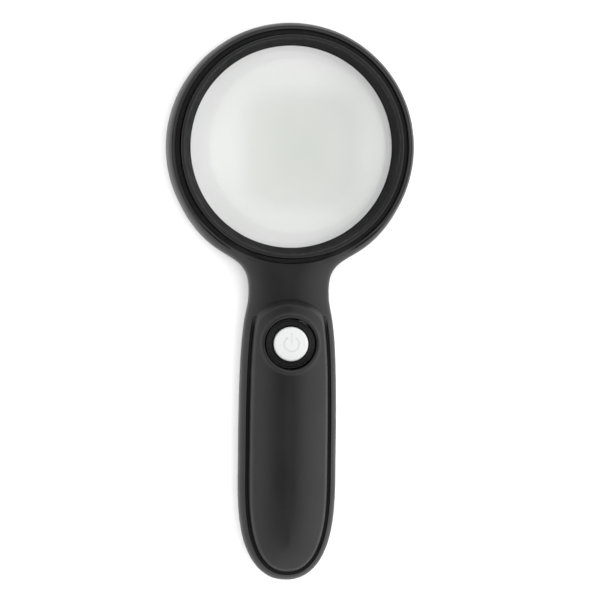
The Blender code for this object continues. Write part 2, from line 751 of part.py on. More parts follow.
def make_lamps(looks):
    inner = channel_inner + CLEARANCE
    outer = channel_outer - CLEARANCE
    high = CHANNEL_DEPTH - CLEARANCE
    low = high - RING_BOARD_THICK
    at = (0, head_y, 0)
    new_object(
        "led_board_ring", turned([(inner, low), (outer, low), (outer, high), (inner, high)], 48),
        looks["pale"], at,
    )
    diffuser_high = DIFFUSER_RECESS + DIFFUSER_THICK
    ring = [
        (inner, DIFFUSER_RECESS), (outer, DIFFUSER_RECESS), (outer, diffuser_high),
        (inner, diffuser_high),
    ]
    new_object("led_diffuser_ring", turned(ring, 48), looks["frost"], at)
    middle = (inner + outer) / 2
    long, wide, thick = LAMP_SIZE
    for i in range(LAMP_COUNT):
        angle = math.pi / 2 + 2 * math.pi * i / LAMP_COUNT
        lamp = block((-long / 2, -wide / 2, -thick / 2), (long / 2, wide / 2, thick / 2), 0.15 * mm)
        place = (middle * math.cos(angle), head_y + middle * math.sin(angle), low - CLEARANCE - thick / 2)
        obj = new_object(f"led_{i + 1}", lamp, looks["lamp"], place)
        obj.rotation_euler.z = angle + math.pi / 2


# ---------------------------------------------------------------- inside the handle


def make_board(looks):
    low = (-BOARD_SIZE[0] / 2, board_low_y, BOARD_Z)
    high = (BOARD_SIZE[0] / 2, board_high_y, board_top_z)
    board = new_object("main_board", block(low, high), looks["board"])
    for i, (x, y) in enumerate(board_screw_places()):
        hole = rod(SCREW_RADIUS * 0.8 + CLEARANCE, BOARD_Z - 1 * mm, board_top_z + 1 * mm, 16)
        combine(board, "DIFFERENCE", helper(f"board_hole_{i}", hole, (x, y, 0)))
        head = turned(
            [
                (0, 0), (0.8 * SCREW_RADIUS, 0), (0.8 * SCREW_RADIUS, BOARD_SIZE[2] + 4 * mm),
                (1.9 * mm, BOARD_SIZE[2] + 4 * mm),
            ]
            + [
                (1.9 * mm, BOARD_SIZE[2] + 4.9 * mm), (1.4 * mm, BOARD_SIZE[2] + 5.3 * mm),
                (0, BOARD_SIZE[2] + 5.3 * mm),
            ],
            20,
        )
        screw = new_object(
            f"board_screw_{i + 1}", head, looks["steel"], (x, y, BOARD_Z + CLEARANCE - 4 * mm)
        )
        cross_slots(screw, 5.3 * mm + BOARD_SIZE[2], 1.2 * mm, 0.7 * mm)
    z = board_top_z + CLEARANCE
    half = SWITCH_SIDE / 2
    switch = block((-half, button_y - half, z), (half, button_y + half, z + SWITCH_HEIGHT), 0.3 * mm)
    new_object("switch_body", switch, looks["black"])
    chip_y = button_y + half + 2.7 * mm
    chip = block((-5.6 * mm, chip_y - 2 * mm, z), (-1.6 * mm, chip_y + 2 * mm, z + 1.4 * mm), 0.2 * mm)
    new_object("driver_chip", chip, looks["black"])
    drum = [(0, 0), (2.6 * mm, 0), (2.6 * mm, 0.6 * mm), (2.2 * mm, 0.9 * mm), (2.2 * mm, 2.3 * mm)]
    drum += [(2.6 * mm, 2.6 * mm), (2.6 * mm, 3.1 * mm), (0, 3.1 * mm)]
    new_object("inductor", turned(drum, 24), looks["iron"], (-3.5 * mm, board_low_y + 3.2 * mm, z))
    can = [
        (0, 0), (1.9 * mm, 0), (2.0 * mm, 0.3 * mm), (2.0 * mm, 4.0 * mm), (1.8 * mm, 4.3 * mm),
        (0, 4.3 * mm),
    ]
    new_object("capacitor", turned(can, 24), looks["aluminium"], (3.9 * mm, chip_y, z))


def cross_slots(screw, top, reach, depth):
    """A cross recess in the top of a screw's head."""
    for name, size in (("a", (reach, 0.25 * mm)), ("b", (0.25 * mm, reach))):
        slot = block((-size[0], -size[1], top - depth), (size[0], size[1], top + 1 * mm))
        combine(screw, "DIFFERENCE", helper(f"{screw.name}_slot_{name}", slot, screw.location))


def make_casing_screws(looks):
    tip = SCREW_RECESS + SCREW_LENGTH
    head_low = SCREW_RECESS - SCREW_HEAD_HEIGHT
    profile = [
        (0, head_low), (SCREW_HEAD_RADIUS - 0.5 * mm, head_low),
        (SCREW_HEAD_RADIUS, head_low + 0.5 * mm),
    ]
    profile += [
        (SCREW_HEAD_RADIUS, SCREW_RECESS), (SCREW_RADIUS, SCREW_RECESS), (SCREW_RADIUS, tip - 1 * mm),
        (0, tip),
    ]
    for i, (x, y) in enumerate(screw_places()):
        screw = new_object(f"housing_screw_{i + 1}", turned(profile, 20), looks["steel"], (x, y, 0))
        for name, size in (("a", (1.3 * mm, 0.3 * mm)), ("b", (0.3 * mm, 1.3 * mm))):
            slot = block((-size[0], -size[1], head_low - 1 * mm), (size[0], size[1], head_low + 0.8 * mm))
            combine(screw, "DIFFERENCE", helper(f"screw_{i}_slot_{name}", slot, (x, y, 0)))


def make_cells(looks):
    """Two cells, the left one with its plus end to the lens and the right one turned round."""
    near = bay_low_y + CLEARANCE + CONTACT_THICK + CLEARANCE
    profile = [
        (0, 0), (CELL_RADIUS - 0.5 * mm, 0), (CELL_RADIUS, 0.4 * mm),
        (CELL_RADIUS, CELL_LENGTH - NUB_LENGTH - 0.5 * mm),
    ]
    profile += [(CELL_RADIUS - 0.4 * mm, CELL_LENGTH - NUB_LENGTH), (NUB_RADIUS, CELL_LENGTH - NUB_LENGTH)]
    profile += [(NUB_RADIUS, CELL_LENGTH), (0, CELL_LENGTH)]
    for name, side, turn in (("battery_left", -1, -1), ("battery_right", 1, 1)):
        cell = turned(profile, 28)
        bmesh.ops.rotate(
            cell, cent=(0, 0, 0), matrix=Matrix.Rotation(turn * math.pi / 2, 3, "X"),
            verts=cell.verts[:],
        )
        y = near + SPRING_ROOM if turn < 0 else near + CELL_LENGTH
        new_object(name, cell, looks["cell"], (side * cell_x, y, CELL_Z))


def make_contacts(looks):
    plate_half = CELL_RADIUS - 0.9 * mm
    low_y = bay_low_y + CLEARANCE
    high_y = bay_high_y - CLEARANCE - CONTACT_THICK
    z0 = CELL_Z - 3.4 * mm
    z1 = CELL_Z + 3.4 * mm
    bridge = block((-cell_x - plate_half, low_y, z0), (cell_x + plate_half, low_y + CONTACT_THICK, z1))
    new_object("contact_bridge", bridge, looks["steel"])
    for name, x in (("contact_positive", -cell_x), ("contact_negative", cell_x)):
        plate = block((x - plate_half, high_y, z0), (x + plate_half, high_y + CONTACT_THICK, z1))
        new_object(name, plate, looks["steel"])
    wire = CELL_SPRING_WIRE / 2
    room = SPRING_ROOM - 2 * wire - CLEARANCE
    first = low_y + CONTACT_THICK + CLEARANCE + wire
    second = high_y - CLEARANCE - wire
    for name, x, start, end in (
        ("negative_spring_1", -cell_x, first, first + room),
        ("negative_spring_2", cell_x, second, second - room),
    ):
        coil = coil_points((CELL_SPRING_WIDE, CELL_SPRING_NARROW), start, end, CELL_SPRING_TURNS, 9)
        points = [(across, along, up) for across, up, along in coil]
        new_object(name, tube_along(points, wire), looks["steel"], (x, 0, CELL_Z))


def make_leads(looks):
    """Soft wires from the cell contacts to the board and from the board to the lamp ring."""
    z = board_top_z + CLEARANCE + LEAD_RADIUS
    start_y = bay_high_y
    for name, side, colour in (("lead_battery_positive", -1, "red"), ("lead_battery_negative", 1, "black")):
        x = side * (cell_x - 1.2 * mm)
        points = [(x, start_y, CELL_Z + 1.5 * mm), (x, start_y + 0.8 * mm, CELL_Z + 1.65 * mm)]
        points += [(x, start_y + 1.6 * mm, CELL_Z + 1.8 * mm), (x, start_y + 2.8 * mm, CELL_Z + 1.75 * mm)]
        end_x = x - side * 0.8 * mm if side > 0 else x + 3.4 * mm
        points += [
            ((x + end_x) / 2, board_low_y - 0.9 * mm, z + 0.9 * mm), (end_x, board_low_y + 0.9 * mm, z)
        ]
        new_object(name, tube_along(smooth_points(points), LEAD_RADIUS), looks[colour])
    ring_y = head_y - channel_outer - CLEARANCE
    low = CHANNEL_DEPTH - CLEARANCE - RING_BOARD_THICK / 2
    for name, side, colour in (("lead_led_positive", -1, "red"), ("lead_led_negative", 1, "black")):
        x = side * 1.6 * mm
        points = [
            (x, board_high_y - 2.4 * mm, z), (x, board_high_y + 0.6 * mm, z),
            (x, board_high_y + 3.2 * mm, z - 2.2 * mm),
        ]
        points += [(x, ring_y - 3.5 * mm, low + 0.4 * mm), (x, ring_y, low)]
        new_object(name, tube_along(smooth_points(points), LEAD_RADIUS), looks[colour])


# ---------------------------------------------------------------- the whole object


def make_all():
    for obj in list(bpy.data.objects):
        bpy.data.objects.remove(obj, do_unlink=True)
    looks = {
        "shell": look("soft_touch_black", (0.018, 0.018, 0.020), 0.55),
        "satin": look("satin_black", (0.022, 0.022, 0.023), 0.38),
        "grip": look("grip_black", (0.02, 0.019, 0.021), 0.6),
        "white": look("white_plastic", (0.85, 0.85, 0.86), 0.35),
        "rubber": look("black_rubber", (0.015, 0.015, 0.015), 0.8),
        "glass": look("clear_lens", (0.95, 0.97, 0.96), 0.02, 0.0, 1.0),
        "frost": look("frosted_plastic", (0.9, 0.9, 0.88), 0.5, 0.0, 0.4),
        "board": look("green_board", (0.02, 0.16, 0.06), 0.45),
        "pale": look("white_board", (0.8, 0.81, 0.79), 0.45),
        "lamp": look("lamp_white", (0.9, 0.85, 0.6), 0.3),
        "black": look("moulded_black", (0.02, 0.02, 0.02), 0.5),
        "iron": look("ferrite", (0.06, 0.06, 0.065), 0.6),
        "aluminium": look("aluminium", (0.75, 0.76, 0.78), 0.3, 1.0),
        "steel": look("plated_steel", (0.6, 0.6, 0.58), 0.3, 1.0),
        "cell": look("cell_wrap", (0.12, 0.25, 0.3), 0.35, 0.3),
        "red": look("red_lead", (0.5, 0.03, 0.02), 0.5),
    }
    button_axis = bpy.data.objects.new("button_axis", None)
    door_axis = bpy.data.objects.new("door_axis", None)
    for axis, place in ((button_axis, (0, button_y, CAP_TOP_Z)), (door_axis, (0, door_high_y, 0))):
        bpy.context.scene.collection.objects.link(axis)
        axis.location = place
    make_front_shell(looks["shell"])
    make_rear_shell(looks["shell"])
    make_door(looks["shell"], door_axis)
    make_grip_cover(looks["grip"])
    make_button(looks, button_axis)
    make_lens(looks["glass"])
    make_bezel(looks["satin"])
    make_gasket(looks["rubber"])
    make_lamps(looks)
    make_board(looks)
    make_casing_screws(looks)
    make_cells(looks)
    make_contacts(looks)
    make_leads(looks)


make_all()
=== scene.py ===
import math

import bmesh
import bpy
from mathutils import Matrix, Vector
from mathutils.kdtree import KDTree


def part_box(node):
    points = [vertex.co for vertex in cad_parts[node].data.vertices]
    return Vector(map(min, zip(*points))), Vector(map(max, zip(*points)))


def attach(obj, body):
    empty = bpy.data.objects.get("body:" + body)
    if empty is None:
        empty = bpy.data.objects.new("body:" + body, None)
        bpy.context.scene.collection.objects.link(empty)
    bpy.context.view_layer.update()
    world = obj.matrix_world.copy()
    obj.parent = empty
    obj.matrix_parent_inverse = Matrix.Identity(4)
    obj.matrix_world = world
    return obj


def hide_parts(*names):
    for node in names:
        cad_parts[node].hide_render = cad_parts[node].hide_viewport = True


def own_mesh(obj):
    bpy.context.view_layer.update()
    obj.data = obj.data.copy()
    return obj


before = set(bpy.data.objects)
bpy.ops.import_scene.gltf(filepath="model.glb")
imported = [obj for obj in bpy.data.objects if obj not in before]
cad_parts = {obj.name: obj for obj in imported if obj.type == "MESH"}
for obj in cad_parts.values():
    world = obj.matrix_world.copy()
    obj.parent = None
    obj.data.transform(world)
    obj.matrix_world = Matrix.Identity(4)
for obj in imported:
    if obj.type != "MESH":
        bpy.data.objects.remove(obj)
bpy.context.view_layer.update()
mm = 0.001
print("frame loaded")


def low(node):
    return Vector(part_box(node)[0])


def high(node):
    return Vector(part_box(node)[1])


def middle(node):
    return (low(node) + high(node)) / 2


# the plan that the casing pieces share, tied to the frame
casing = {
    "halfLength": high("front_shell").y,
    "ringRadius": high("front_shell").x,
    "ringY": middle("lens").y,
    "gripHalf": 15.8 * mm,
    "neckHalf": 12.9 * mm,
    "neckDrop": 46.1 * mm,
    "gripDrop": 93 * mm,
    "flare": math.radians(26.2),
    "flarePull": 24.6 * mm,
    "neckPull": 14 * mm,
    "flankPull": 10.3 * mm,
    "flankReach": 44 * mm,
    "endLength": 36 * mm,
    "endAcross": 2.2,
    "endAlong": 3.05,
    "wall": 1.1 * mm,
}
ringY = casing["ringY"]
neckY = ringY - casing["neckDrop"]
seamLow = high("rear_shell").z
seamHigh = low("front_shell").z
rimZ = high("front_shell").z
buttonY = middle("button_cap").y


def lookAt(obj, target, roll):
    back = (obj.location - Vector(target)).normalized()
    right = Vector((0, 1, 0)).cross(back).normalized()
    turn = Matrix((right, back.cross(right), back)).transposed()
    obj.rotation_euler = (turn @ Matrix.Rotation(roll, 3, "Z")).to_euler()


view = {
    "distance": 1.05,
    "lean": math.radians(5.5),
    "tip": math.radians(1.4),
    "roll": math.radians(0.67),
    "field": 0.191,  # how much is seen across at the distance
    "target": (2.15 * mm, 2.05 * mm, 9.5 * mm),
}


def makeCamera():
    camera = bpy.data.objects.new("camera", bpy.data.cameras.new("camera"))
    bpy.context.scene.collection.objects.link(camera)
    away = Vector((-math.tan(view["lean"]), math.tan(view["tip"]), 1)).normalized() * view["distance"]
    camera.location = Vector(view["target"]) + away
    camera.data.angle = 2 * math.atan(view["field"] / 2 / view["distance"])
    camera.data.clip_start = 0.05
    lookAt(camera, view["target"], view["roll"])
    bpy.context.scene.camera = camera


def makeFloor():
    bm = bmesh.new()
    bmesh.ops.create_grid(bm, x_segments=2, y_segments=2, size=3)
    bmesh.ops.translate(bm, vec=(0, 0, -0.1 * mm), verts=bm.verts[:])
    floor = meshObject("floor", bm, floorFinish())


light = {
    "lampSize": 0.9,
    "lampHeight": 1.6,
    "lampPower": 12,
    "dimShift": (0.17, 0.02, 0),
    "skyTones": ((0.0, 0.05), (0.2, 0.08), (0.38, 0.22), (0.52, 0.5), (0.8, 0.9), (1.0, 1.0)),
    "skyStrength": 2.3,
}


def makeLight():
    lamp = bpy.data.objects.new("overhead", bpy.data.lights.new("overhead", "AREA"))
    bpy.context.scene.collection.objects.link(lamp)
    lamp.data.size = light["lampSize"]
    lamp.data.energy = light["lampPower"]
    lamp.location = (0, 0, light["lampHeight"])
    lamp.visible_glossy = False  # lights the table without a hot spot on the plastics or in the lens
    lamp.visible_transmission = False
    world = bpy.data.worlds.new("studio")
    world.use_nodes = True
    bpy.context.scene.world = world
    nodes, links = world.node_tree.nodes, world.node_tree.links
    direction = nodes.new("ShaderNodeTexCoord")
    moved = nodes.new("ShaderNodeVectorMath")  # a dim rounded square overhead, softly edged, and pale walls
    moved.operation = "ADD"
    moved.inputs[1].default_value = light["dimShift"]
    links.new(direction.outputs["Generated"], moved.inputs[0])
    tone = ramped(nodes, links, squareReach(nodes, links, moved.outputs[0]), light["skyTones"])
    links.new(tone, nodes["Background"].inputs["Color"])
    nodes["Background"].inputs["Strength"].default_value = light["skyStrength"]
    bpy.context.scene.view_settings.view_transform = "Standard"


def meshObject(name, bm, finish, sharp=35, recalc=False):
    if recalc:
        bmesh.ops.remove_doubles(bm, verts=bm.verts[:], dist=1e-6)
        bmesh.ops.recalc_face_normals(bm, faces=bm.faces[:])
    mesh = bpy.data.meshes.new(name)
    bm.to_mesh(mesh)
    bm.free()
    obj = bpy.data.objects.new(name, mesh)
    bpy.context.scene.collection.objects.link(obj)
    if finish is not None:
        mesh.materials.append(finish)
    mesh.shade_smooth()
    mesh.set_sharp_from_angle(angle=math.radians(sharp))
    return obj


def baked(obj):
    # the modifiers' result as a plain mesh
    graph = bpy.context.evaluated_depsgraph_get()
    graph.update()
    mesh = bpy.data.meshes.new_from_object(obj.evaluated_get(graph), depsgraph=graph)
    obj.modifiers.clear()
    obj.data = mesh
    return obj


def turned(profile, at, steps=160):
    # a ring or disc turned about an upright axis at the place
    bm = bmesh.new()
    loops = []
    for k in range(steps):
        angle = 2 * math.pi * k / steps
        cosine, sine = math.cos(angle), math.sin(angle)
        loops.append([bm.verts.new((at.x + r * cosine, at.y + r * sine, z)) for r, z in profile])
    count = len(profile)
    closed = all(r > 1e-7 for r, z in profile)
    for k in range(steps):
        here, after = loops[k], loops[(k + 1) % steps]
        for i in range(count if closed else count - 1):
            j = (i + 1) % count
            bm.faces.new((here[i], after[i], after[j], here[j]))
    bmesh.ops.remove_doubles(bm, verts=bm.verts[:], dist=1e-7)
    bmesh.ops.dissolve_degenerate(bm, edges=bm.edges[:], dist=1e-8)
    return bm


def rounded(corners, radius, parts=5):
    # a closed profile with each corner turned into a small arc
    points = []
    count = len(corners)
    for i, corner in enumerate(corners):
        here = Vector(corner)
        before = Vector(corners[i - 1]) - here
        after = Vector(corners[(i + 1) % count]) - here
        reach = min(radius, before.length * 0.45, after.length * 0.45)
        start = here + before.normalized() * reach
        end = here + after.normalized() * reach
        for k in range(parts + 1):
            t = k / parts
            points.append(tuple((1 - t) ** 2 * start + 2 * t * (1 - t) * here + t * t * end))
    return points


def cutWith(obj, cutter, operation="DIFFERENCE"):
    modifier = obj.modifiers.new("cut", "BOOLEAN")
    modifier.operation = operation
    modifier.object = cutter
    baked(obj)
    bpy.data.objects.remove(cutter)


def box(lowCorner, highCorner):
    bm = bmesh.new()
    bmesh.ops.create_cube(bm, size=1)
    size = Vector(highCorner) - Vector(lowCorner)
    bmesh.ops.transform(bm, matrix=Matrix.Diagonal((*size, 1)), verts=bm.verts[:])
    bmesh.ops.translate(bm, vec=(Vector(highCorner) + Vector(lowCorner)) / 2, verts=bm.verts[:])
    return bm


def finishBase(name):
    material = bpy.data.materials.new(name)
    material.use_nodes = True
    nodes, links = material.node_tree.nodes, material.node_tree.links
    return material, nodes, links, nodes["Principled BSDF"]


def noiseAt(nodes, links, scale, detail=2.0, stretch=(1, 1, 1)):
    place = nodes.new("ShaderNodeTexCoord")
    mapping = nodes.new("ShaderNodeMapping")
    mapping.inputs["Scale"].default_value = stretch
    noise = nodes.new("ShaderNodeTexNoise")
    noise.inputs["Scale"].default_value = scale
    noise.inputs["Detail"].default_value = detail
    links.new(place.outputs["Object"], mapping.inputs["Vector"])
    links.new(mapping.outputs["Vector"], noise.inputs["Vector"])
    return noise.outputs["Fac"]


def ramped(nodes, links, source, steps):
    ramp = nodes.new("ShaderNodeValToRGB")
    while len(ramp.color_ramp.elements) < len(steps):
        ramp.color_ramp.elements.new(0.5)
    for element, (place, colour) in zip(ramp.color_ramp.elements, steps):
        element.position = place
        element.color = (*colour, 1) if isinstance(colour, tuple) else (colour, colour, colour, 1)
    links.new(source, ramp.inputs["Fac"])
    return ramp.outputs["Color"]


def bumped(nodes, links, shader, source, depth, strength=1.0):
    bump = nodes.new("ShaderNodeBump")
    bump.inputs["Distance"].default_value = depth
    bump.inputs["Strength"].default_value = strength
    links.new(source, bump.inputs["Height"])
    links.new(bump.outputs["Normal"], shader.inputs["Normal"])


def moulded(
    name, tone, rough, grain=2600, depth=0.03 * mm, mottle=0.12, metallic=0.0, patch=55, level=0.25
):
    # moulded plastic: a fine spark-eroded grain, slow changes of tone and handled patches in the gloss
    material, nodes, links, shader = finishBase(name)
    dark = tuple(c * (1 - mottle) for c in tone)
    pale = tuple(min(c * (1 + mottle), 1) for c in tone)
    links.new(
        ramped(nodes, links, noiseAt(nodes, links, patch, 4), ((0.35, dark), (0.65, pale))),
        shader.inputs["Base Color"],
    )
    gloss = ramped(
        nodes, links, noiseAt(nodes, links, patch * 1.7, 5),
        ((0.3, rough * 0.88), (0.7, min(rough * 1.12, 1))),
    )
    links.new(gloss, shader.inputs["Roughness"])
    shader.inputs["Metallic"].default_value = metallic
    shader.inputs["Specular IOR Level"].default_value = level
    bumped(nodes, links, shader, noiseAt(nodes, links, grain, 3), depth)
    return material


def brushed(name, tone, rough):
    # plated or turned metal with fine lines and a little tarnish
    material, nodes, links, shader = finishBase(name)
    dull = tuple(c * 0.72 for c in tone)
    links.new(
        ramped(nodes, links, noiseAt(nodes, links, 160, 5), ((0.3, dull), (0.6, tone))),
        shader.inputs["Base Color"],
    )
    lines = noiseAt(nodes, links, 900, 3, (0.15, 4, 1))
    links.new(
        ramped(nodes, links, lines, ((0.2, rough * 0.7), (0.8, rough * 1.4))),
        shader.inputs["Roughness"],
    )
    shader.inputs["Metallic"].default_value = 1.0
    bumped(nodes, links, shader, lines, 0.01 * mm, 0.6)
    return material


def floorFinish():
    material, nodes, links, shader = finishBase("paleFloor")
    tone = ramped(nodes, links, noiseAt(nodes, links, 3, 2), ((0.3, 0.93), (0.7, 0.95)))
    links.new(tone, shader.inputs["Base Color"])
    shader.inputs["Roughness"].default_value = 0.9
    shader.inputs["Specular IOR Level"].default_value = 0.1
    return material


def squareReach(nodes, links, vector):
    # how far out a spot is, measured in rounded squares
    apart = nodes.new("ShaderNodeSeparateXYZ")
    links.new(vector, apart.inputs[0])
    total = nodes.new("ShaderNodeMath")
    for k, axis in enumerate("XY"):
        size = nodes.new("ShaderNodeMath")
        size.operation = "ABSOLUTE"
        links.new(apart.outputs[axis], size.inputs[0])
        power = nodes.new("ShaderNodeMath")
        power.operation = "POWER"
        power.inputs[1].default_value = 4
        links.new(size.outputs[0], power.inputs[0])
        links.new(power.outputs[0], total.inputs[k])
    root = nodes.new("ShaderNodeMath")
    root.operation = "POWER"
    root.inputs[1].default_value = 0.25
    links.new(total.outputs[0], root.inputs[0])
    return root.outputs[0]


def lensFinish():
    # clear cast acrylic with a faint grey-green body tint; the colour is darker and greener over a soft
    # square in the middle, a painted reflection of the dim square overhead; lightly handled
    material, nodes, links, shader = finishBase("clearLens")
    shader.inputs["Transmission Weight"].default_value = 1.0
    shader.inputs["IOR"].default_value = 1.49
    spot = nodes.new("ShaderNodeTexCoord")
    moved = nodes.new("ShaderNodeVectorMath")  # from the middle of the glass, in shares of the aperture
    moved.operation = "MULTIPLY_ADD"
    scale = 1 / high("lens").x
    moved.inputs[1].default_value = (scale, scale, 0)
    moved.inputs[2].default_value = (-0.1, -ringY * scale + 0.03, 0)
    links.new(spot.outputs["Object"], moved.inputs[0])
    # tint bands: darker and greener towards the middle as painted reflection, paler towards the rim where
    # the glass shows its own faint tint
    bands = (
        (0.0, (0.745, 0.765, 0.738)), (0.45, (0.78, 0.797, 0.772)), (0.62, (0.87, 0.88, 0.87)),
        (0.9, (0.93, 0.933, 0.93)),
    )
    paintedReflectionTint = ramped(nodes, links, squareReach(nodes, links, moved.outputs[0]), bands)
    links.new(paintedReflectionTint, shader.inputs["Base Color"])
    links.new(
        ramped(nodes, links, noiseAt(nodes, links, 70, 5), ((0.45, 0.0), (0.75, 0.035))),
        shader.inputs["Roughness"],
    )
    return material


def frostedFinish():
    material, nodes, links, shader = finishBase("frostedRing")
    shader.inputs["Transmission Weight"].default_value = 0.35
    shader.inputs["Subsurface Weight"].default_value = 0.2
    shader.inputs["Subsurface Scale"].default_value = 0.002
    tone = ramped(
        nodes, links, noiseAt(nodes, links, 300, 3),
        ((0.3, (0.84, 0.85, 0.82)), (0.7, (0.92, 0.92, 0.9))),
    )
    links.new(tone, shader.inputs["Base Color"])
    links.new(
        ramped(nodes, links, noiseAt(nodes, links, 1400, 4), ((0.3, 0.45), (0.7, 0.65))),
        shader.inputs["Roughness"],
    )
    bumped(nodes, links, shader, noiseAt(nodes, links, 2200, 3), 0.03 * mm)
    return material


def boardFinish(name, mask, copper):
    # solder mask over copper tracks, which show as slightly raised paler lines
    material, nodes, links, shader = finishBase(name)
    place = nodes.new("ShaderNodeTexCoord")
    tracks = nodes.new("ShaderNodeTexBrick")
    tracks.inputs["Scale"].default_value = 260
    tracks.inputs["Mortar Size"].default_value = 0.03
    tracks.inputs["Color1"].default_value = (*mask, 1)
    tracks.inputs["Color2"].default_value = (*(c * 0.85 for c in mask), 1)
    tracks.inputs["Mortar"].default_value = (*copper, 1)
    links.new(place.outputs["Object"], tracks.inputs["Vector"])
    links.new(tracks.outputs["Color"], shader.inputs["Base Color"])
    links.new(
        ramped(nodes, links, noiseAt(nodes, links, 400, 3), ((0.3, 0.3), (0.7, 0.5))),
        shader.inputs["Roughness"],
    )
    bumped(nodes, links, shader, tracks.outputs["Fac"], 0.02 * mm, 0.5)
    return material


def cellFinish(start, end):
    # a plain two-tone sleeve with bare metal at both ends, no lettering
    material, nodes, links, shader = finishBase("cellSleeve")
    place = nodes.new("ShaderNodeTexCoord")
    apart = nodes.new("ShaderNodeSeparateXYZ")
    links.new(place.outputs["Object"], apart.inputs[0])
    span = nodes.new("ShaderNodeMapRange")
    span.inputs["From Min"].default_value = start
    span.inputs["From Max"].default_value = end
    links.new(apart.outputs["Y"], span.inputs["Value"])
    bands = (
        (0.0, (0.62, 0.62, 0.6)), (0.03, (0.03, 0.09, 0.16)), (0.7, (0.04, 0.12, 0.2)),
        (0.715, (0.65, 0.42, 0.12)),
    )
    bands += ((0.95, (0.6, 0.38, 0.1)), (0.965, (0.62, 0.62, 0.6)))
    colour = ramped(nodes, links, span.outputs["Result"], bands)
    links.new(colour, shader.inputs["Base Color"])
    shader.inputs["Metallic"].default_value = 0.55
    links.new(
        ramped(nodes, links, noiseAt(nodes, links, 250, 4), ((0.3, 0.26), (0.7, 0.4))),
        shader.inputs["Roughness"],
    )
    bumped(nodes, links, shader, noiseAt(nodes, links, 500, 2), 0.01 * mm)
    return material


finishes = {
    "shell": moulded("softBlackCasing", (0.0074, 0.0071, 0.0076), 0.42, 2400, 0.03 * mm),
    "cover": moulded("softBlackCover", (0.0070, 0.0066, 0.0071), 0.42, 2000, 0.035 * mm),
    "bezel": moulded("satinBlackBezel", (0.0070, 0.0070, 0.0073), 0.38, 3000, 0.015 * mm),
    "white": moulded("whiteCap", (0.47, 0.475, 0.475), 0.34, 2600, 0.008 * mm, 0.015),
    "rubber": moulded("blackRubber", (0.012, 0.012, 0.012), 0.72, 1800, 0.04 * mm),
    "lens": lensFinish(),
    "frost": frostedFinish(),
    "greenBoard": boardFinish("greenBoard", (0.012, 0.12, 0.045), (0.05, 0.2, 0.08)),
    "whiteBoard": boardFinish("whiteBoard", (0.8, 0.81, 0.79), (0.7, 0.72, 0.7)),
    "chip": moulded("chipBlack", (0.018, 0.018, 0.019), 0.5, 3200, 0.02 * mm),
    "ferrite": moulded("ferrite", (0.055, 0.055, 0.06), 0.55, 1500, 0.05 * mm),
    "steel": brushed("platedSteel", (0.62, 0.61, 0.58), 0.3),
    "aluminium": brushed("turnedAluminium", (0.78, 0.79, 0.8), 0.28),
    "cellLeft": cellFinish(low("battery_left").y, high("battery_left").y),
    "cellRight": cellFinish(high("battery_right").y, low("battery_right").y),
    "redLead": moulded("redInsulation", (0.42, 0.02, 0.015), 0.42, 900, 0.02 * mm),
    "blackLead": moulded("blackInsulation", (0.02, 0.02, 0.02), 0.45, 900, 0.02 * mm),
    "phosphor": moulded("lampPhosphor", (0.85, 0.68, 0.12), 0.4, 1800, 0.02 * mm),
    "lampBody": moulded("lampBody", (0.82, 0.82, 0.8), 0.4, 1800, 0.01 * mm),
}


def bezier(p0, p1, p2, p3, count):
    points = []
    for i in range(1, count + 1):
        t = i / count
        s = 1 - t
        points.append(
            s**3 * Vector(p0) + 3 * s * s * t * Vector(p1) + 3 * s * t * t * Vector(p2) + t**3 * Vector(p3),
        )
    return points


def halfPlan():
    # right side of the plan from the ring's top to the handle's end, and where the neck leaves the ring
    c = casing
    points = []
    arcSteps = 84
    for i in range(arcSteps + 1):
        angle = math.pi / 2 - (math.pi / 2 + c["flare"]) * i / arcSteps
        points.append(
            Vector((c["ringRadius"] * math.cos(angle), ringY + c["ringRadius"] * math.sin(angle)))
        )
    corner = len(points) - 1
    leave = points[-1] + c["flarePull"] * Vector((-math.sin(c["flare"]), -math.cos(c["flare"])))
    neck = Vector((c["neckHalf"], neckY))
    points += bezier(points[-1], leave, neck + Vector((0, c["neckPull"])), neck, 46)
    grip = Vector((c["gripHalf"], ringY - c["gripDrop"]))
    points += bezier(
        neck, neck - Vector((0, c["flankPull"])), grip + Vector((0, c["flankReach"])), grip, 46
    )
    endTop = -c["halfLength"] + c["endLength"]
    steps = 90
    for i in range(steps + 1):
        turn = math.pi / 2 * i / steps
        x = c["gripHalf"] * math.cos(turn) ** (2 / c["endAcross"])
        y = endTop - c["endLength"] * math.sin(turn) ** (2 / c["endAlong"])
        if y < points[-1].y - 0.15 * mm or i == steps:
            points.append(Vector((x, y)))
    points[-1] = Vector((0, -c["halfLength"]))
    return points, corner


plan, planCorner = halfPlan()
planNormals = []
for i, point in enumerate(plan):
    step = plan[min(i + 1, len(plan) - 1)] - plan[max(i - 1, 0)]
    planNormals.append(Vector((-step.y, step.x)).normalized())
planNormals[0] = Vector((0, 1))
planNormals[-1] = Vector((0, -1))
planTree = KDTree(2 * len(plan))
for i, point in enumerate(plan):
    planTree.insert((point.x, point.y, 0), i)
    planTree.insert((-point.x, point.y, 0), i)
planTree.balance()


def planDepth(x, y):
    # distance in from the edge of the plan
    place = Vector((abs(x), y))
    i = planTree.find((place.x, place.y, 0))[1]
    return max(abs((place - plan[i]).dot(planNormals[i])), 0)


def movedIn(i, depth):
    spot = plan[i] - planNormals[i] * depth
    return Vector((max(spot.x, 0) if 0 < i < len(plan) - 1 else 0, spot.y))


def smooth(value, start, end):
    t = min(max((value - start) / (end - start), 0), 1)
    return t * t * (3 - 2 * t)


def fullLoop(depthOf):
    # the whole plan moved in, anticlockwise from above
    right = [movedIn(i, depthOf(plan[i].y)) for i in range(len(plan))]
    left = [Vector((-p.x, p.y)) for p in right[1:-1]]
    return left + [right[-1]] + right[-2:0:-1] + [right[0]]


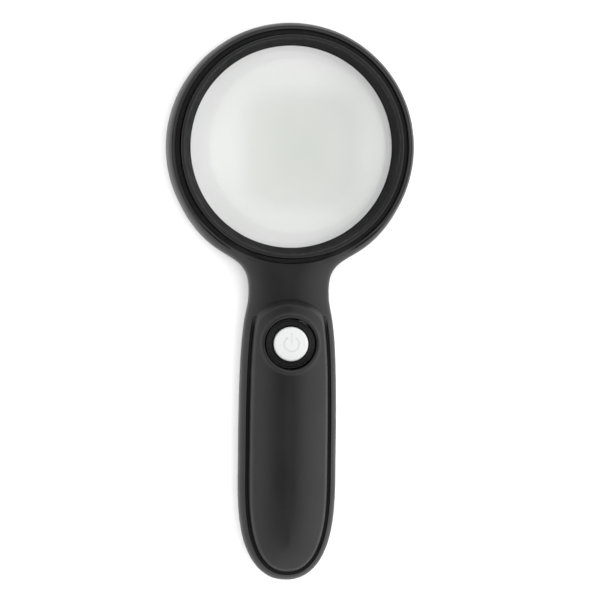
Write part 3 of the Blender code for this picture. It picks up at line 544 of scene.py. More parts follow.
def stacked(levels):
    bm = bmesh.new()
    loops = [[bm.verts.new((p.x, p.y, z)) for p in loop] for loop, z in levels]
    for lowLoop, highLoop in zip(loops, loops[1:]):
        for i in range(len(lowLoop)):
            j = (i + 1) % len(lowLoop)
            bm.faces.new((lowLoop[i], lowLoop[j], highLoop[j], highLoop[i]))
    bm.faces.new(loops[0][::-1])
    bm.faces.new(loops[-1])
    return bm


front = {
    "ringEdge": 2.3 * mm,
    "neckEdge": 12.2 * mm,
    "gripEdge": 8.5 * mm,
    "power": 2.0,
    "grooveDepth": 1.5 * mm,
    "leave": 0.3 * mm,
    "gripGroove": 1.95 * mm,
    "coverInset": 3.0 * mm,
    "patchEnd": buttonY + 9.4 * mm,
    "underSteps": 48,
    "rungs": 24,
    "spread": math.radians(0.1),
    "moat": ((0.06, 0.04), (0.15, 0.14), (0.28, 0.34), (0.45, 0.42), (1.9, 0.45)),
}


def frontHeight(depth, y):
    # the casing's front face: a short round edge on the ring, a full crown at the neck, broad on the grip
    f = front
    edge = f["ringEdge"] + (f["neckEdge"] - f["ringEdge"]) * smooth(-y, -neckY - 24 * mm, -neckY - 2 * mm)
    edge += (f["gripEdge"] - f["neckEdge"]) * smooth(-y, -neckY + 2 * mm, -neckY + 22 * mm)
    share = 1 - min(depth / edge, 1)
    return seamHigh + (rimZ - seamHigh) * (1 - share ** f["power"]) ** (1 / f["power"])


def makeFrontShell():
    f = front
    bm = bmesh.new()
    count = len(plan)
    centre = Vector((0, ringY))
    grooveRadius = casing["ringRadius"] - f["ringEdge"]
    leaveRadius = grooveRadius + f["leave"]
    spots = [movedIn(i, f["ringEdge"]) for i in range(count)]
    corner = next(i for i in range(planCorner, count) if (spots[i] - centre).length > leaveRadius)

    def edgeDepth(i):
        share = smooth(-plan[i].y, -neckY - 6 * mm, -neckY + 12 * mm)
        return f["ringEdge"] + (f["gripGroove"] - f["ringEdge"]) * share

    def skinSpot(i, share):
        # a point of the rounded edge strip: share runs from the outline to the groove
        turn = 1 - math.cos(math.pi / 2 * share)
        spot = movedIn(i, edgeDepth(i) * turn)
        if i <= corner:
            inner = centre + (plan[i] - centre).normalized() * grooveRadius
            spot = plan[i].lerp(inner, turn)
        return spot

    steps = 14
    sides = {}
    for side in (1, -1):
        for i in range(count):
            if side < 0 and i in (0, count - 1):
                sides[(side, i)] = sides[(1, i)]
                continue
            column = []
            for k in range(steps + 1):
                spot = skinSpot(i, k / steps)
                depth = (spot - plan[i]).length
                column.append(bm.verts.new((side * spot.x, spot.y, frontHeight(depth, spot.y))))
            sides[(side, i)] = column
        for i in range(count - 1):
            a, b = sides[(side, i)], sides[(side, i + 1)]
            for k in range(steps):
                bm.faces.new((a[k], a[k + 1], b[k + 1], b[k]))
    # the ring's groove and bore
    floorZ = rimZ - f["grooveDepth"]
    boreRadius = high("lens_bezel").x + 0.25 * mm
    profile = [
        (grooveRadius - 0.05 * mm, 0.03), (grooveRadius - 0.09 * mm, 0.2),
        (grooveRadius - 0.12 * mm, 0.85), (grooveRadius - 0.3 * mm, 1),
    ]
    profile += [(boreRadius + 0.1 * mm, 1), (boreRadius, 1.15), (boreRadius, 2.2)]
    rim = [sides[(1, i)][-1] for i in range(corner, -1, -1)]
    rim += [sides[(-1, i)][-1] for i in range(1, corner + 1)]
    # the neck's face: lines run from the ring's arc to the neck's edge and to the end under the cover
    lastRow = next(i for i in range(corner, count) if plan[i].y < f["patchEnd"])
    right = [sides[(1, i)][-1] for i in range(corner + 1, lastRow + 1)]
    left = [sides[(-1, i)][-1] for i in range(corner + 1, lastRow + 1)]
    under = []
    for k in range(1, f["underSteps"]):
        spot = right[-1].co.lerp(left[-1].co, k / f["underSteps"])
        under.append(bm.verts.new((spot.x, spot.y, frontHeight(planDepth(spot.x, spot.y), spot.y))))
    lower = right + under + left[::-1]

    half = len(lower) // 2
    turns = []
    for vert in lower[: half + 1]:
        turn = math.atan2(ringY - vert.co.y, vert.co.x)
        turns.append(min(max(turn, turns[-1] + f["spread"]), math.pi / 2) if turns else turn)
    turns += [math.pi - turn for turn in turns[-2::-1]]

    def ladder(vert, turn):
        top = centre + grooveRadius * Vector((math.cos(turn), -math.sin(turn)))
        line = []
        for k in range(f["rungs"]):
            spot = top.lerp(vert.co.xy, k / f["rungs"])
            line.append(bm.verts.new((spot.x, spot.y, frontHeight(planDepth(spot.x, spot.y), spot.y))))
        return line + [vert]

    lines = [ladder(vert, turn) for vert, turn in zip(lower, turns)]
    for a, b in zip(lines, lines[1:]):
        for k in range(f["rungs"]):
            bm.faces.new((a[k], a[k + 1], b[k + 1], b[k]))
    bm.faces.new([rim[0]] + lines[0])
    bm.faces.new([rim[-1]] + lines[-1])
    ring = rim + [line[0] for line in reversed(lines)]
    above = ring
    for r, share in profile:
        below = []
        for vert in ring:
            out = Vector((vert.co.x, vert.co.y - ringY)).normalized()
            below.append(
                bm.verts.new((out.x * r, ringY + out.y * r, vert.co.z - (vert.co.z - floorZ) * share))
            )
        for k in range(len(ring)):
            j = (k + 1) % len(ring)
            bm.faces.new((above[k], below[k], below[j], above[j]))
        above = below
    # the moat beside the cover and the deck under it
    line = right[-1:] + [sides[(1, i)][-1] for i in range(lastRow + 1, count)]
    line += [sides[(-1, i)][-1] for i in range(count - 2, lastRow, -1)] + left[-1:]
    above = line
    for inward, down in f["moat"]:
        below = []
        for k, vert in enumerate(line):
            i = min(lastRow + k, lastRow + len(line) - 1 - k)
            spot = movedIn(i, edgeDepth(i) + inward * mm)
            side = -1 if k > len(line) // 2 else 1
            fade = smooth(-vert.co.y, -f["patchEnd"] - 0.5 * mm, -f["patchEnd"] + 5 * mm)
            level = frontHeight((spot - plan[i]).length, spot.y)
            below.append(
                bm.verts.new((side * spot.x, spot.y, level + (line[k].co.z - down * mm - level) * fade))
            )
        for k in range(len(line) - 1):
            bm.faces.new((above[k], above[k + 1], below[k + 1], below[k]))
        above = below
    bmesh.ops.recalc_face_normals(bm, faces=bm.faces[:])
    shell = meshObject("frontShell", bm, finishes["shell"], 40)
    wall = shell.modifiers.new("wall", "SOLIDIFY")
    wall.thickness = casing["wall"]
    wall.offset = -1
    baked(shell)
    return shell


cover = {
    "crown": high("grip_cover").z,
    "neckTop": 19.3 * mm,
    "crestReach": 37.5 * mm,
    "endTop": 18.6 * mm,
    "stepRadius": high("grip_cover").y - buttonY,
    "stepWidth": 2.1 * mm,
    "stepPower": 1.3,
    "sideWidth": 12.0 * mm,
    "edgeRise": 0.26,
    "edgeRound": 1.3 * mm,
    "wellRadius": 8.25 * mm,
    "beadRadius": 9.15 * mm,
    "beadWidth": 0.62 * mm,
    "bead": 0.42 * mm,
    "split": buttonY - 12.5 * mm,
}


def coverCrest(y):
    start = buttonY + cover["stepRadius"]
    along = min(max((start - y) / cover["crestReach"], 0), 1)
    rise = cover["neckTop"] + (cover["crown"] - cover["neckTop"]) * math.sin(math.pi / 2 * along)
    tail = -casing["halfLength"] + casing["endLength"] + 2 * mm
    t = min(max((tail - y) / (casing["endLength"]), 0), 1)
    return rise - (cover["crown"] - cover["endTop"]) * t**2.2


def roundRise(share, power=2.0):
    share = 1 - min(max(share, 0), 1)
    return (1 - share**power) ** (1 / power)


def coverHeight(x, y, edgeZ):
    c = cover
    sideGap = planDepth(x, y) - front["coverInset"]
    fromButton = math.hypot(x, y - buttonY)
    endGap = c["stepRadius"] - fromButton if y > buttonY - 2 * mm else c["stepRadius"]
    if y > buttonY - 2 * mm:
        endGap = min(endGap, c["stepRadius"]) + smooth(buttonY + 3 * mm - y, 0, 5 * mm) * c["stepRadius"]
    crest = coverCrest(y)
    crown = c["edgeRise"] + (1 - c["edgeRise"]) * (1 - (1 - min(max(sideGap / c["sideWidth"], 0), 1)) ** 2)
    rise = crown * roundRise(sideGap / c["edgeRound"]) * roundRise(endGap / c["stepWidth"], c["stepPower"])
    bead = c["bead"] * math.exp(-(((fromButton - c["beadRadius"]) / c["beadWidth"]) ** 2))
    return edgeZ + (crest - edgeZ) * rise + bead


def coverEdge():
    # the cover's right outline, from the handle's end up to the top of the arc
    c = cover
    inset = front["coverInset"]
    side = [i for i in range(planCorner, len(plan)) if plan[i].y < buttonY + 12 * mm]
    right = []
    for i in reversed(side):
        spot = movedIn(i, inset)
        if spot.y > buttonY and (spot - Vector((0, buttonY))).length > c["stepRadius"]:
            break
        right.append(spot)
    start = right[-1] - Vector((0, buttonY))
    angle = math.atan2(start.y, start.x)
    arc = []
    steps = 60
    for k in range(1, steps + 1):
        turn = angle + (math.pi / 2 - angle) * k / steps
        arc.append(Vector((0, buttonY)) + c["stepRadius"] * Vector((math.cos(turn), math.sin(turn))))
    return right + arc


def makeCover():
    c = cover
    edge = coverEdge()
    centre = Vector((0, buttonY))
    upper = [p for p in edge if p.y >= c["split"]]
    lower = [p for p in edge if p.y < c["split"]]
    cross = upper[0].copy()
    cross.y = c["split"]
    half = [cross] + [p for p in upper if p.y > c["split"] + 0.1 * mm]
    loop = half + [Vector((-p.x, p.y)) for p in half[-2::-1]]
    bottomCount = 64
    bottom = [Vector((-cross.x + 2 * cross.x * k / bottomCount, c["split"])) for k in range(1, bottomCount)]
    outline = loop + bottom
    bm = bmesh.new()

    def edgeZ(x, y):
        near = frontHeight(front["ringEdge"], y) - 0.35 * mm
        arcEdge = frontHeight(planDepth(x, y), y) - 0.25 * mm
        return near + (arcEdge - near) * smooth(y, buttonY + 2 * mm, buttonY + 10 * mm)

    wellDrop = [(0.0, -3.6), (0.0, -0.75), (0.06, -0.42), (0.2, -0.2), (0.42, -0.06)]
    rings = []
    steps = 46
    for k in range(len(wellDrop) + steps):
        ring = []
        for p in outline:
            out = (p - centre).normalized()
            reach = (p - centre).length
            if k < len(wellDrop):
                r = c["wellRadius"] + wellDrop[k][0] * mm
                drop = wellDrop[k][1] * mm
            else:
                t = (k - len(wellDrop) + 1) / steps
                first = c["wellRadius"] + 0.7 * mm
                r = first + (reach - first) * (t if t < 1 else 1)
                drop = 0
            spot = centre + out * r
            z = coverHeight(spot.x, spot.y, edgeZ(spot.x, spot.y)) + drop
            ring.append(bm.verts.new((spot.x, spot.y, max(z, rimZ + 0.2 * mm) if k == 0 else z)))
        rings.append(ring)
    for a, b in zip(rings, rings[1:]):
        for k in range(len(a)):
            j = (k + 1) % len(a)
            bm.faces.new((a[k], b[k], b[j], a[j]))
    # lower part, row by row to the end of the handle
    seam = [rings[-1][len(loop) - 1]] + rings[-1][len(loop):] + [rings[-1][0]]
    rows = [seam]
    halfWidth = cross.x
    for p in reversed(lower):
        if p.x < 0.4 * mm:
            continue
        line = []
        for vert in seam:
            x = vert.co.x / halfWidth * p.x
            y = p.y
            line.append(bm.verts.new((x, y, coverHeight(x, y, edgeZ(x, y)))))
        rows.append(line)
    for a, b in zip(rows, rows[1:]):
        for k in range(len(seam) - 1):
            bm.faces.new((a[k], b[k], b[k + 1], a[k + 1]))
    tip = bm.verts.new((0, lower[0].y, rows[-1][0].co.z))
    for k in range(len(seam) - 1):
        bm.faces.new((rows[-1][k], tip, rows[-1][k + 1]))
    bmesh.ops.recalc_face_normals(bm, faces=bm.faces[:])
    past = c["wellRadius"] + 0.5 * mm
    borders = [e for e in bm.edges if e.is_boundary and (e.verts[0].co.xy - centre).length > past]
    grown = bmesh.ops.extrude_edge_only(bm, edges=borders)["geom"]
    for vert in (g for g in grown if isinstance(g, bmesh.types.BMVert)):
        vert.co.z -= 1.3 * mm
    bmesh.ops.recalc_face_normals(bm, faces=bm.faces[:])
    piece = meshObject("gripCover", bm, finishes["cover"], 50)
    wall = piece.modifiers.new("wall", "SOLIDIFY")
    wall.thickness = 0.9 * mm
    wall.offset = -1
    baked(piece)
    return piece


back = {
    # height, then how far in the edge stands round the ring and round the handle
    "levels": (
        (0.0, 1.3, 4.2), (0.12, 1.02, 3.55), (0.35, 0.75, 2.95), (0.7, 0.5, 2.35), (1.3, 0.28, 1.65),
        (2.2, 0.12, 1.05), (3.3, 0.04, 0.65), (4.6, 0.0, 0.34), (6.0, 0.0, 0.12), (7.4, 0.0, 0.0),
    ),
    "slack": 0.3 * mm,
    "seatStep": 1.9 * mm,
    "channelWall": 1.1 * mm,
    "cutTop": 12 * mm,
    "bayGap": 0.35 * mm,
    "recessDepth": 2.9 * mm,
}


def backLevels():
    levels = []
    for z, onHead, onGrip in back["levels"]:
        def depth(y, a=onHead * mm, b=onGrip * mm):
            return a + (b - a) * smooth(-y, -neckY - 12 * mm, -neckY + 14 * mm)
        levels.append((fullLoop(depth), z * mm))
    levels.append((fullLoop(lambda y: 0.0), seamLow))
    return levels


door = {
    "sideSlope": 0.375,
    "ribs": 7,
    "pitch": 2.0 * mm,
    "ribLength": 13 * mm,
    "ribRadius": 0.5 * mm,
    "dish": 0.75 * mm,
    "dishUp": 22 * mm,
    "dishBall": (9.2 * mm, 8.4 * mm, 3 * mm),
}


def doorWedge(slack):
    corner = high("battery_door")
    topY = corner.y + slack
    levels = []
    for z in (-1 * mm, corner.z + slack):
        x = corner.x + slack - door["sideSlope"] * (corner.z - z)
        levels.append(([Vector((-x, topY)), Vector((-x, -0.2)), Vector((x, -0.2)), Vector((x, topY))], z))
    return meshObject("wedge", stacked(levels), None)


def weighted(obj):
    normals = obj.modifiers.new("flats", "WEIGHTED_NORMAL")
    normals.keep_sharp = True
    normals.weight = 80
    baked(obj)
    return obj


def makeRearShell():
    shell = meshObject("rearShell", stacked(backLevels()), finishes["shell"], 30)
    at = Vector((0, ringY, 0))
    slack = back["slack"]
    seat = high("lens").x + slack
    seatZ = low("lens_gasket").z - slack
    inner = high("lens").x - back["seatStep"]
    bore = [
        (0, -1 * mm), (inner + 0.5 * mm, -1 * mm), (inner + 0.5 * mm, 0), (inner, 0.5 * mm),
        (inner, seatZ), (seat, seatZ), (seat, back["cutTop"]), (0, back["cutTop"]),
    ]
    cutWith(shell, meshObject("bore", turned(bore, at), None, recalc=True))
    outer = high("led_diffuser_ring").x + slack
    inside = inner + back["channelWall"]
    depth = high("led_board_ring").z + slack
    channel = [(inside, -1 * mm), (outer, -1 * mm), (outer, depth), (inside, depth)]
    cutWith(shell, meshObject("channel", turned(channel, at), None, recalc=True))
    cutWith(shell, doorWedge(slack))
    bayLow, bayHigh = low("contact_bridge"), high("contact_positive")
    bayHalf = high("battery_right").x + back["bayGap"]
    bayStart = (-bayHalf, bayLow.y - slack, high("battery_door").z)
    bayEnd = (bayHalf, bayHigh.y + slack, back["cutTop"])
    cutWith(shell, meshObject("bay", box(bayStart, bayEnd), None))
    for k in range(1, 5):
        head = middle(f"housing_screw_{k}")
        radius = high(f"housing_screw_{k}").x - head.x + slack
        recess = [
            (0, -1 * mm), (radius + 0.5 * mm, -1 * mm), (radius + 0.2 * mm, 0.05 * mm),
            (radius, 0.4 * mm), (radius, back["recessDepth"]), (0, back["recessDepth"]),
        ]
        head.z = 0
        cutWith(shell, meshObject("recess", turned(recess, head, 40), None, recalc=True))
    shell.data.set_sharp_from_angle(angle=math.radians(30))
    return weighted(shell)


def makeDoor():
    piece = meshObject("batteryDoor", stacked(backLevels()), finishes["shell"], 30)
    cutWith(piece, doorWedge(0.0), "INTERSECT")
    centreY = low("battery_door").y + door["dishUp"]
    bm = bmesh.new()
    bmesh.ops.create_uvsphere(bm, u_segments=64, v_segments=32, radius=1)
    bmesh.ops.scale(bm, vec=door["dishBall"], verts=bm.verts[:])
    bmesh.ops.translate(bm, vec=(0, centreY, door["dish"] - door["dishBall"][2]), verts=bm.verts[:])
    cutWith(piece, meshObject("dish", bm, None))
    piece.data.set_sharp_from_angle(angle=math.radians(30))
    return weighted(piece), centreY


def newTree(name):
    tree = bpy.data.node_groups.new(name, "GeometryNodeTree")
    tree.interface.new_socket("Geometry", in_out="INPUT", socket_type="NodeSocketGeometry")
    tree.interface.new_socket("Geometry", in_out="OUTPUT", socket_type="NodeSocketGeometry")
    return tree, tree.nodes.new("NodeGroupInput"), tree.nodes.new("NodeGroupOutput")


def addInput(tree, name, kind):
    tree.interface.new_socket(name, in_out="INPUT", socket_type=kind)


def finishTree(tree, geometry, output):
    # every tree ends in real geometry with its finish set
    real = tree.nodes.new("GeometryNodeRealizeInstances")
    paint = tree.nodes.new("GeometryNodeSetMaterial")
    entry = next(n for n in tree.nodes if n.type == "GROUP_INPUT")
    tree.links.new(geometry, real.inputs[0])
    tree.links.new(real.outputs[0], paint.inputs["Geometry"])
    tree.links.new(entry.outputs["Finish"], paint.inputs["Material"])
    tree.links.new(paint.outputs[0], output.inputs[0])


def runTree(obj, tree, values):
    modifier = obj.modifiers.new("shape", "NODES")
    modifier.node_group = tree
    for socket in tree.interface.items_tree:
        if socket.in_out == "INPUT" and socket.name in values:
            modifier[socket.identifier] = values[socket.name]
    return baked(obj)


def coilTree():
    tree, entry, output = newTree("coil")
    for name in ("Turns", "Start Radius", "End Radius", "Height", "Wire Radius"):
        addInput(tree, name, "NodeSocketFloat")
    addInput(tree, "Finish", "NodeSocketMaterial")
    spiral = tree.nodes.new("GeometryNodeCurveSpiral")
    spiral.inputs["Resolution"].default_value = 40
    wire = tree.nodes.new("GeometryNodeCurvePrimitiveCircle")
    wire.inputs["Resolution"].default_value = 12
    sweep = tree.nodes.new("GeometryNodeCurveToMesh")
    sweep.inputs["Fill Caps"].default_value = True
    tree.links.new(entry.outputs["Turns"], spiral.inputs["Rotations"])
    for name in ("Start Radius", "End Radius", "Height"):
        tree.links.new(entry.outputs[name], spiral.inputs[name])
    tree.links.new(entry.outputs["Wire Radius"], wire.inputs["Radius"])
    tree.links.new(spiral.outputs[0], sweep.inputs["Curve"])
    tree.links.new(wire.outputs[0], sweep.inputs["Profile Curve"])
    finishTree(tree, sweep.outputs[0], output)
    return tree


def rowTree():
    # copies of the given shape in a straight row
    tree, entry, output = newTree("row")
    addInput(tree, "Count", "NodeSocketInt")
    addInput(tree, "Start", "NodeSocketVector")
    addInput(tree, "Step", "NodeSocketVector")
    addInput(tree, "Finish", "NodeSocketMaterial")
    line = tree.nodes.new("GeometryNodeMeshLine")
    spread = tree.nodes.new("GeometryNodeInstanceOnPoints")
    tree.links.new(entry.outputs["Count"], line.inputs["Count"])
    tree.links.new(entry.outputs["Start"], line.inputs["Start Location"])
    tree.links.new(entry.outputs["Step"], line.inputs["Offset"])
    tree.links.new(line.outputs[0], spread.inputs["Points"])
    tree.links.new(entry.outputs["Geometry"], spread.inputs["Instance"])
    finishTree(tree, spread.outputs[0], output)
    return tree


def ringTree():
    # copies of the given shape round a circle, each turned to face the middle
    tree, entry, output = newTree("ring")
    addInput(tree, "Count", "NodeSocketInt")
    addInput(tree, "Radius", "NodeSocketFloat")
    addInput(tree, "Centre", "NodeSocketVector")
    addInput(tree, "Finish", "NodeSocketMaterial")
    circle = tree.nodes.new("GeometryNodeMeshCircle")
    shift = tree.nodes.new("GeometryNodeTransform")
    quarter = tree.nodes.new("GeometryNodeTransform")
    quarter.inputs["Rotation"].default_value = (0, 0, math.pi / 2)
    spread = tree.nodes.new("GeometryNodeInstanceOnPoints")
    place = tree.nodes.new("GeometryNodeInputPosition")
    align = tree.nodes.new("FunctionNodeAlignRotationToVector")
    align.axis = "X"
    align.pivot_axis = "Z"
    tree.links.new(entry.outputs["Count"], circle.inputs["Vertices"])
    tree.links.new(entry.outputs["Radius"], circle.inputs["Radius"])
    tree.links.new(circle.outputs[0], quarter.inputs[0])
    tree.links.new(quarter.outputs[0], spread.inputs["Points"])
    tree.links.new(entry.outputs["Geometry"], spread.inputs["Instance"])
    tree.links.new(place.outputs[0], align.inputs["Vector"])
    tree.links.new(align.outputs[0], spread.inputs["Rotation"])
    tree.links.new(spread.outputs[0], shift.inputs["Geometry"])
    tree.links.new(entry.outputs["Centre"], shift.inputs["Translation"])
    finishTree(tree, shift.outputs[0], output)
    return tree


def makeDoorRibs(centreY):
    bm = bmesh.new()
    bmesh.ops.create_uvsphere(bm, u_segments=20, v_segments=12, radius=door["ribRadius"])
    bmesh.ops.rotate(bm, cent=(0, 0, 0), matrix=Matrix.Rotation(math.pi / 2, 3, "Y"), verts=bm.verts[:])
    reach = door["ribLength"] / 2 - door["ribRadius"]
    for vert in bm.verts:
        vert.co.x += reach if vert.co.x > 1e-6 else (-reach if vert.co.x < -1e-6 else 0)
    ribs = meshObject("doorRibs", bm, None)
    start = (0, centreY - door["pitch"] * (door["ribs"] - 1) / 2, door["dish"] - 0.08 * mm)
    values = {
        "Count": door["ribs"], "Start": start, "Step": (0, door["pitch"], 0),
        "Finish": finishes["shell"],
    }
    return runTree(ribs, rowTree(), values)


def coil(name, turns, startRadius, endRadius, height, wire, at, turn=None):
    piece = meshObject(name, bmesh.new(), None)
    values = {
        "Turns": turns,
        "Start Radius": startRadius,
        "End Radius": endRadius,
        "Height": height,
        "Wire Radius": wire,
        "Finish": finishes["steel"],
    }
    runTree(piece, coilTree(), values)
    if turn is not None:
        piece.data.transform(turn)
    piece.data.transform(Matrix.Translation(at))
    return piece


springs = {
    "endTurns": 3.5,
    "endFoot": 3.0 * mm,
    "endTop": 1.7 * mm,
    "endWire": 0.25 * mm,
    "returnTurns": 2.5,
    "returnRadius": 3.1 * mm,
    "returnWire": 0.2 * mm,
    "keep": 0.42,  # share of its length that the return spring has left when pressed
}


def makeEndSpring(node, name):
    a, b, c = low(node), high(node), springs
    left = name == "endSpringLeft"
    wire = c["endWire"]
    turn = Matrix.Rotation(-math.pi / 2 if left else math.pi / 2, 4, "X")
    at = (middle(node).x, a.y + wire if left else b.y - wire, middle("battery_left").z)
    return coil(name, c["endTurns"], c["endFoot"], c["endTop"], b.y - a.y - 2 * wire, wire, at, turn)


def makeReturnSpring():
    a, b, c = low("button_spring"), high("button_spring"), springs
    wire = c["returnWire"]
    height = b.z - a.z - 2 * wire
    at = (0, buttonY, a.z + wire)
    return coil("returnSpring", c["returnTurns"], c["returnRadius"], c["returnRadius"], height, wire, at)


screwSizes = {
    "crown": (
        (0, 0), (0.45, 0.02 * mm), (0.75, 0.14 * mm), (0.93, 0.38 * mm), (1, 0.7 * mm), (1, 1.5 * mm)
    ),
    "shank": 1.1 * mm,
    "shankTop": 9.5 * mm,
    "slotLong": 1.35 * mm,
    "slotWide": 0.27 * mm,
    "slotDepth": 0.8 * mm,
    "firstTurn": 0.35,
    "nextTurn": 0.8,
}


def makeScrews():
    # pan heads with a cross recess, seen from below, one mesh for the four
    c = screwSizes
    radius = high("housing_screw_1").x - middle("housing_screw_1").x
    base = low("housing_screw_1").z
    profile = [(radius * share, base + up) for share, up in c["crown"]]
    profile += [
        (c["shank"], profile[-1][1]), (c["shank"], base + c["shankTop"]), (0, high("housing_screw_1").z)
    ]
    screw = meshObject(
        "housingScrews", turned(profile, Vector((0, 0, 0)), 48), finishes["steel"], 40, recalc=True
    )
    for x, y in ((c["slotLong"], c["slotWide"]), (c["slotWide"], c["slotLong"])):
        start = (-x, -y, base - 1 * mm)
        end = (x, y, base + c["slotDepth"])
        cutWith(screw, meshObject("slot", box(start, end), None))
    screw.data.set_sharp_from_angle(angle=math.radians(35))
    mesh = screw.data
    spots = [middle(f"housing_screw_{k}") for k in range(1, 5)]
    whole = bmesh.new()
    for k, spot in enumerate(spots):
        copy = mesh.copy()
        turn = Matrix.Rotation(c["firstTurn"] + c["nextTurn"] * k, 4, "Z")
        copy.transform(Matrix.Translation((spot.x, spot.y, 0)) @ turn)
        whole.from_mesh(copy)
        bpy.data.meshes.remove(copy)
    whole.to_mesh(mesh)
    whole.free()
    return screw


lampSizes = {
    "bevel": 0.15 * mm,
    "dome": (
        (0, -0.28 * mm), (0.5 * mm, -0.22 * mm), (0.85 * mm, -0.02 * mm), (0.9 * mm, 0.2 * mm),
        (0, 0.2 * mm),
    ),
}


def makeLamps():
    size = high("led_1") - low("led_1")
    radius = middle("led_1").y - ringY
    top = high("led_1").z
    bm = box((-size.y / 2, -size.x / 2, -size.z), (size.y / 2, size.x / 2, 0))
    bmesh.ops.bevel(bm, geom=bm.edges[:], offset=lampSizes["bevel"], segments=3, affect="EDGES")
    bodies = meshObject("lampBodies", bm, None)
    dome = turned([(r, z - size.z) for r, z in lampSizes["dome"]], Vector((0, 0, 0)), 24)
    domes = meshObject("lampDomes", dome, None, recalc=True)
    for piece, finish in ((bodies, "lampBody"), (domes, "phosphor")):
        values = {"Count": 6, "Radius": radius, "Centre": (0, ringY, top), "Finish": finishes[finish]}
        runTree(piece, ringTree(), values)
    return bodies, domes


glass = {"halfEdge": 1.25 * mm, "steps": 40}


def makeLens():
    centre = middle("lens")
    radius = high("lens").x - centre.x
    half = (high("lens").z - low("lens").z) / 2
    edge = glass["halfEdge"]
    curve = (radius**2 + (half - edge) ** 2) / (2 * (half - edge))
    steps = glass["steps"]
    face = []
    for i in range(steps + 1):
        r = radius * (1 - i / steps)
        face.append((r, centre.z + edge + math.sqrt(curve**2 - r**2) - math.sqrt(curve**2 - radius**2)))
    under = [(r, 2 * centre.z - z) for r, z in reversed(face)]
    lens = meshObject("lensGlass", turned(under + face, centre, 192), finishes["lens"], 30, recalc=True)
    lens.visible_shadow = False
    return lens


bezel = {"lipInset": 2.0 * mm, "lipUp": 0.62 * mm, "rim": 1.15 * mm, "foot": 1.3 * mm, "corner": 0.42 * mm}


def makeBezel():
    centre = middle("lens")
    outer = high("lens_bezel").x
    top = high("lens_bezel").z
    base = low("lens_bezel").z
    lip = high("lens").x - bezel["lipInset"]
    lipZ = base + bezel["lipUp"]
    corners = [
        (outer, base), (outer, top), (outer - bezel["rim"], top), (lip + 0.35 * mm, lipZ + 1.3 * mm),
        (lip, lipZ + 0.75 * mm), (lip, lipZ), (outer - bezel["foot"], base),
    ]
    ring = turned(rounded(corners, bezel["corner"]), centre, 220)
    return meshObject("bezel", ring, finishes["bezel"], 40, recalc=True)


button = {
    "iconRadius": 2.38 * mm,
    "stroke": 0.2 * mm,
    "soft": 0.09 * mm,
    "barTop": 3.35 * mm,
    "gap": 0.62,
    "depth": 0.16 * mm,
    "dome": 0.25 * mm,
    "edge": 0.75 * mm,
    "wall": 1.1 * mm,
    "deck": 1.6 * mm,
}


def iconDepth(x, y):
    # a power symbol: an open ring with a bar through its gap
    b = button
    r = math.hypot(x, y)
    angle = abs(math.atan2(x, y))
    soft = b["soft"]
    if angle > b["gap"]:
        ring = 1 - smooth(abs(r - b["iconRadius"]), b["stroke"], b["stroke"] + soft)
    else:
        ends = Vector((math.sin(b["gap"]), math.cos(b["gap"]))) * b["iconRadius"]
        ring = 1 - smooth((Vector((abs(x), y)) - ends).length, b["stroke"], b["stroke"] + soft)
    along = min(max(y, 0.1 * mm), b["barTop"])
    bar = 1 - smooth(math.hypot(x, y - along), b["stroke"], b["stroke"] + soft)
    return b["depth"] * max(ring, bar)


def makeCap():
    centre = middle("button_cap")
    radius = high("button_cap").x - centre.x
    top = high("button_cap").z
    base = low("button_cap").z
    bm = bmesh.new()
    steps, rings = 240, 72
    edgeSize = button["edge"]
    flat = radius - edgeSize
    profile = [(flat * math.sqrt(k / rings), 0) for k in range(1, rings + 1)]
    turns = [math.pi / 2 * k / 8 for k in range(1, 9)]
    edge = [(flat + edgeSize * math.sin(turn), edgeSize * (1 - math.cos(turn))) for turn in turns]
    loops = []
    for r, drop in profile + edge + [(radius, top - base)]:
        loop = []
        for k in range(steps):
            angle = 2 * math.pi * k / steps
            x, y = r * math.cos(angle), r * math.sin(angle)
            z = top - drop if drop > 0 else top - iconDepth(x, y)
            if drop < top - base:
                z -= button["dome"] * (r / radius) ** 2
            loop.append(bm.verts.new((centre.x + x, centre.y + y, max(z, base))))
        loops.append(loop)
    middleVert = bm.verts.new((centre.x, centre.y, top - iconDepth(0, 0)))
    for k in range(steps):
        j = (k + 1) % steps
        bm.faces.new((middleVert, loops[0][k], loops[0][j]))
        for a, b in zip(loops, loops[1:]):
            bm.faces.new((a[k], b[k], b[j], a[j]))
    inside, deck = radius - button["wall"], top - button["deck"]
    inner = turned([(inside, base), (inside, deck), (0, deck)], Vector((centre.x, centre.y, 0)), steps)
    innerMesh = bpy.data.meshes.new("inner")
    inner.to_mesh(innerMesh)
    bm.from_mesh(innerMesh)
    bridge = [v for v in bm.verts if abs(v.co.z - base) < 1e-7]
    outerLoop = loops[-1]
    rim = sorted(
        (v for v in bridge if v not in set(outerLoop)),
        key=lambda v: math.atan2(v.co.y - centre.y, v.co.x - centre.x) % (2 * math.pi - 1e-6),
    )
    for k in range(steps):
        j = (k + 1) % steps
        bm.faces.new((outerLoop[k], rim[k], rim[j], outerLoop[j]))
    return meshObject("powerCap", bm, finishes["white"], 40, recalc=True)


seal = {
    "gap": 0.3 * mm, "drop": 0.5 * mm, "lift": 0.08 * mm, "ripple": 0.16 * mm, "waves": 2.5,
    "crown": 0.2 * mm, "steps": 40,
}


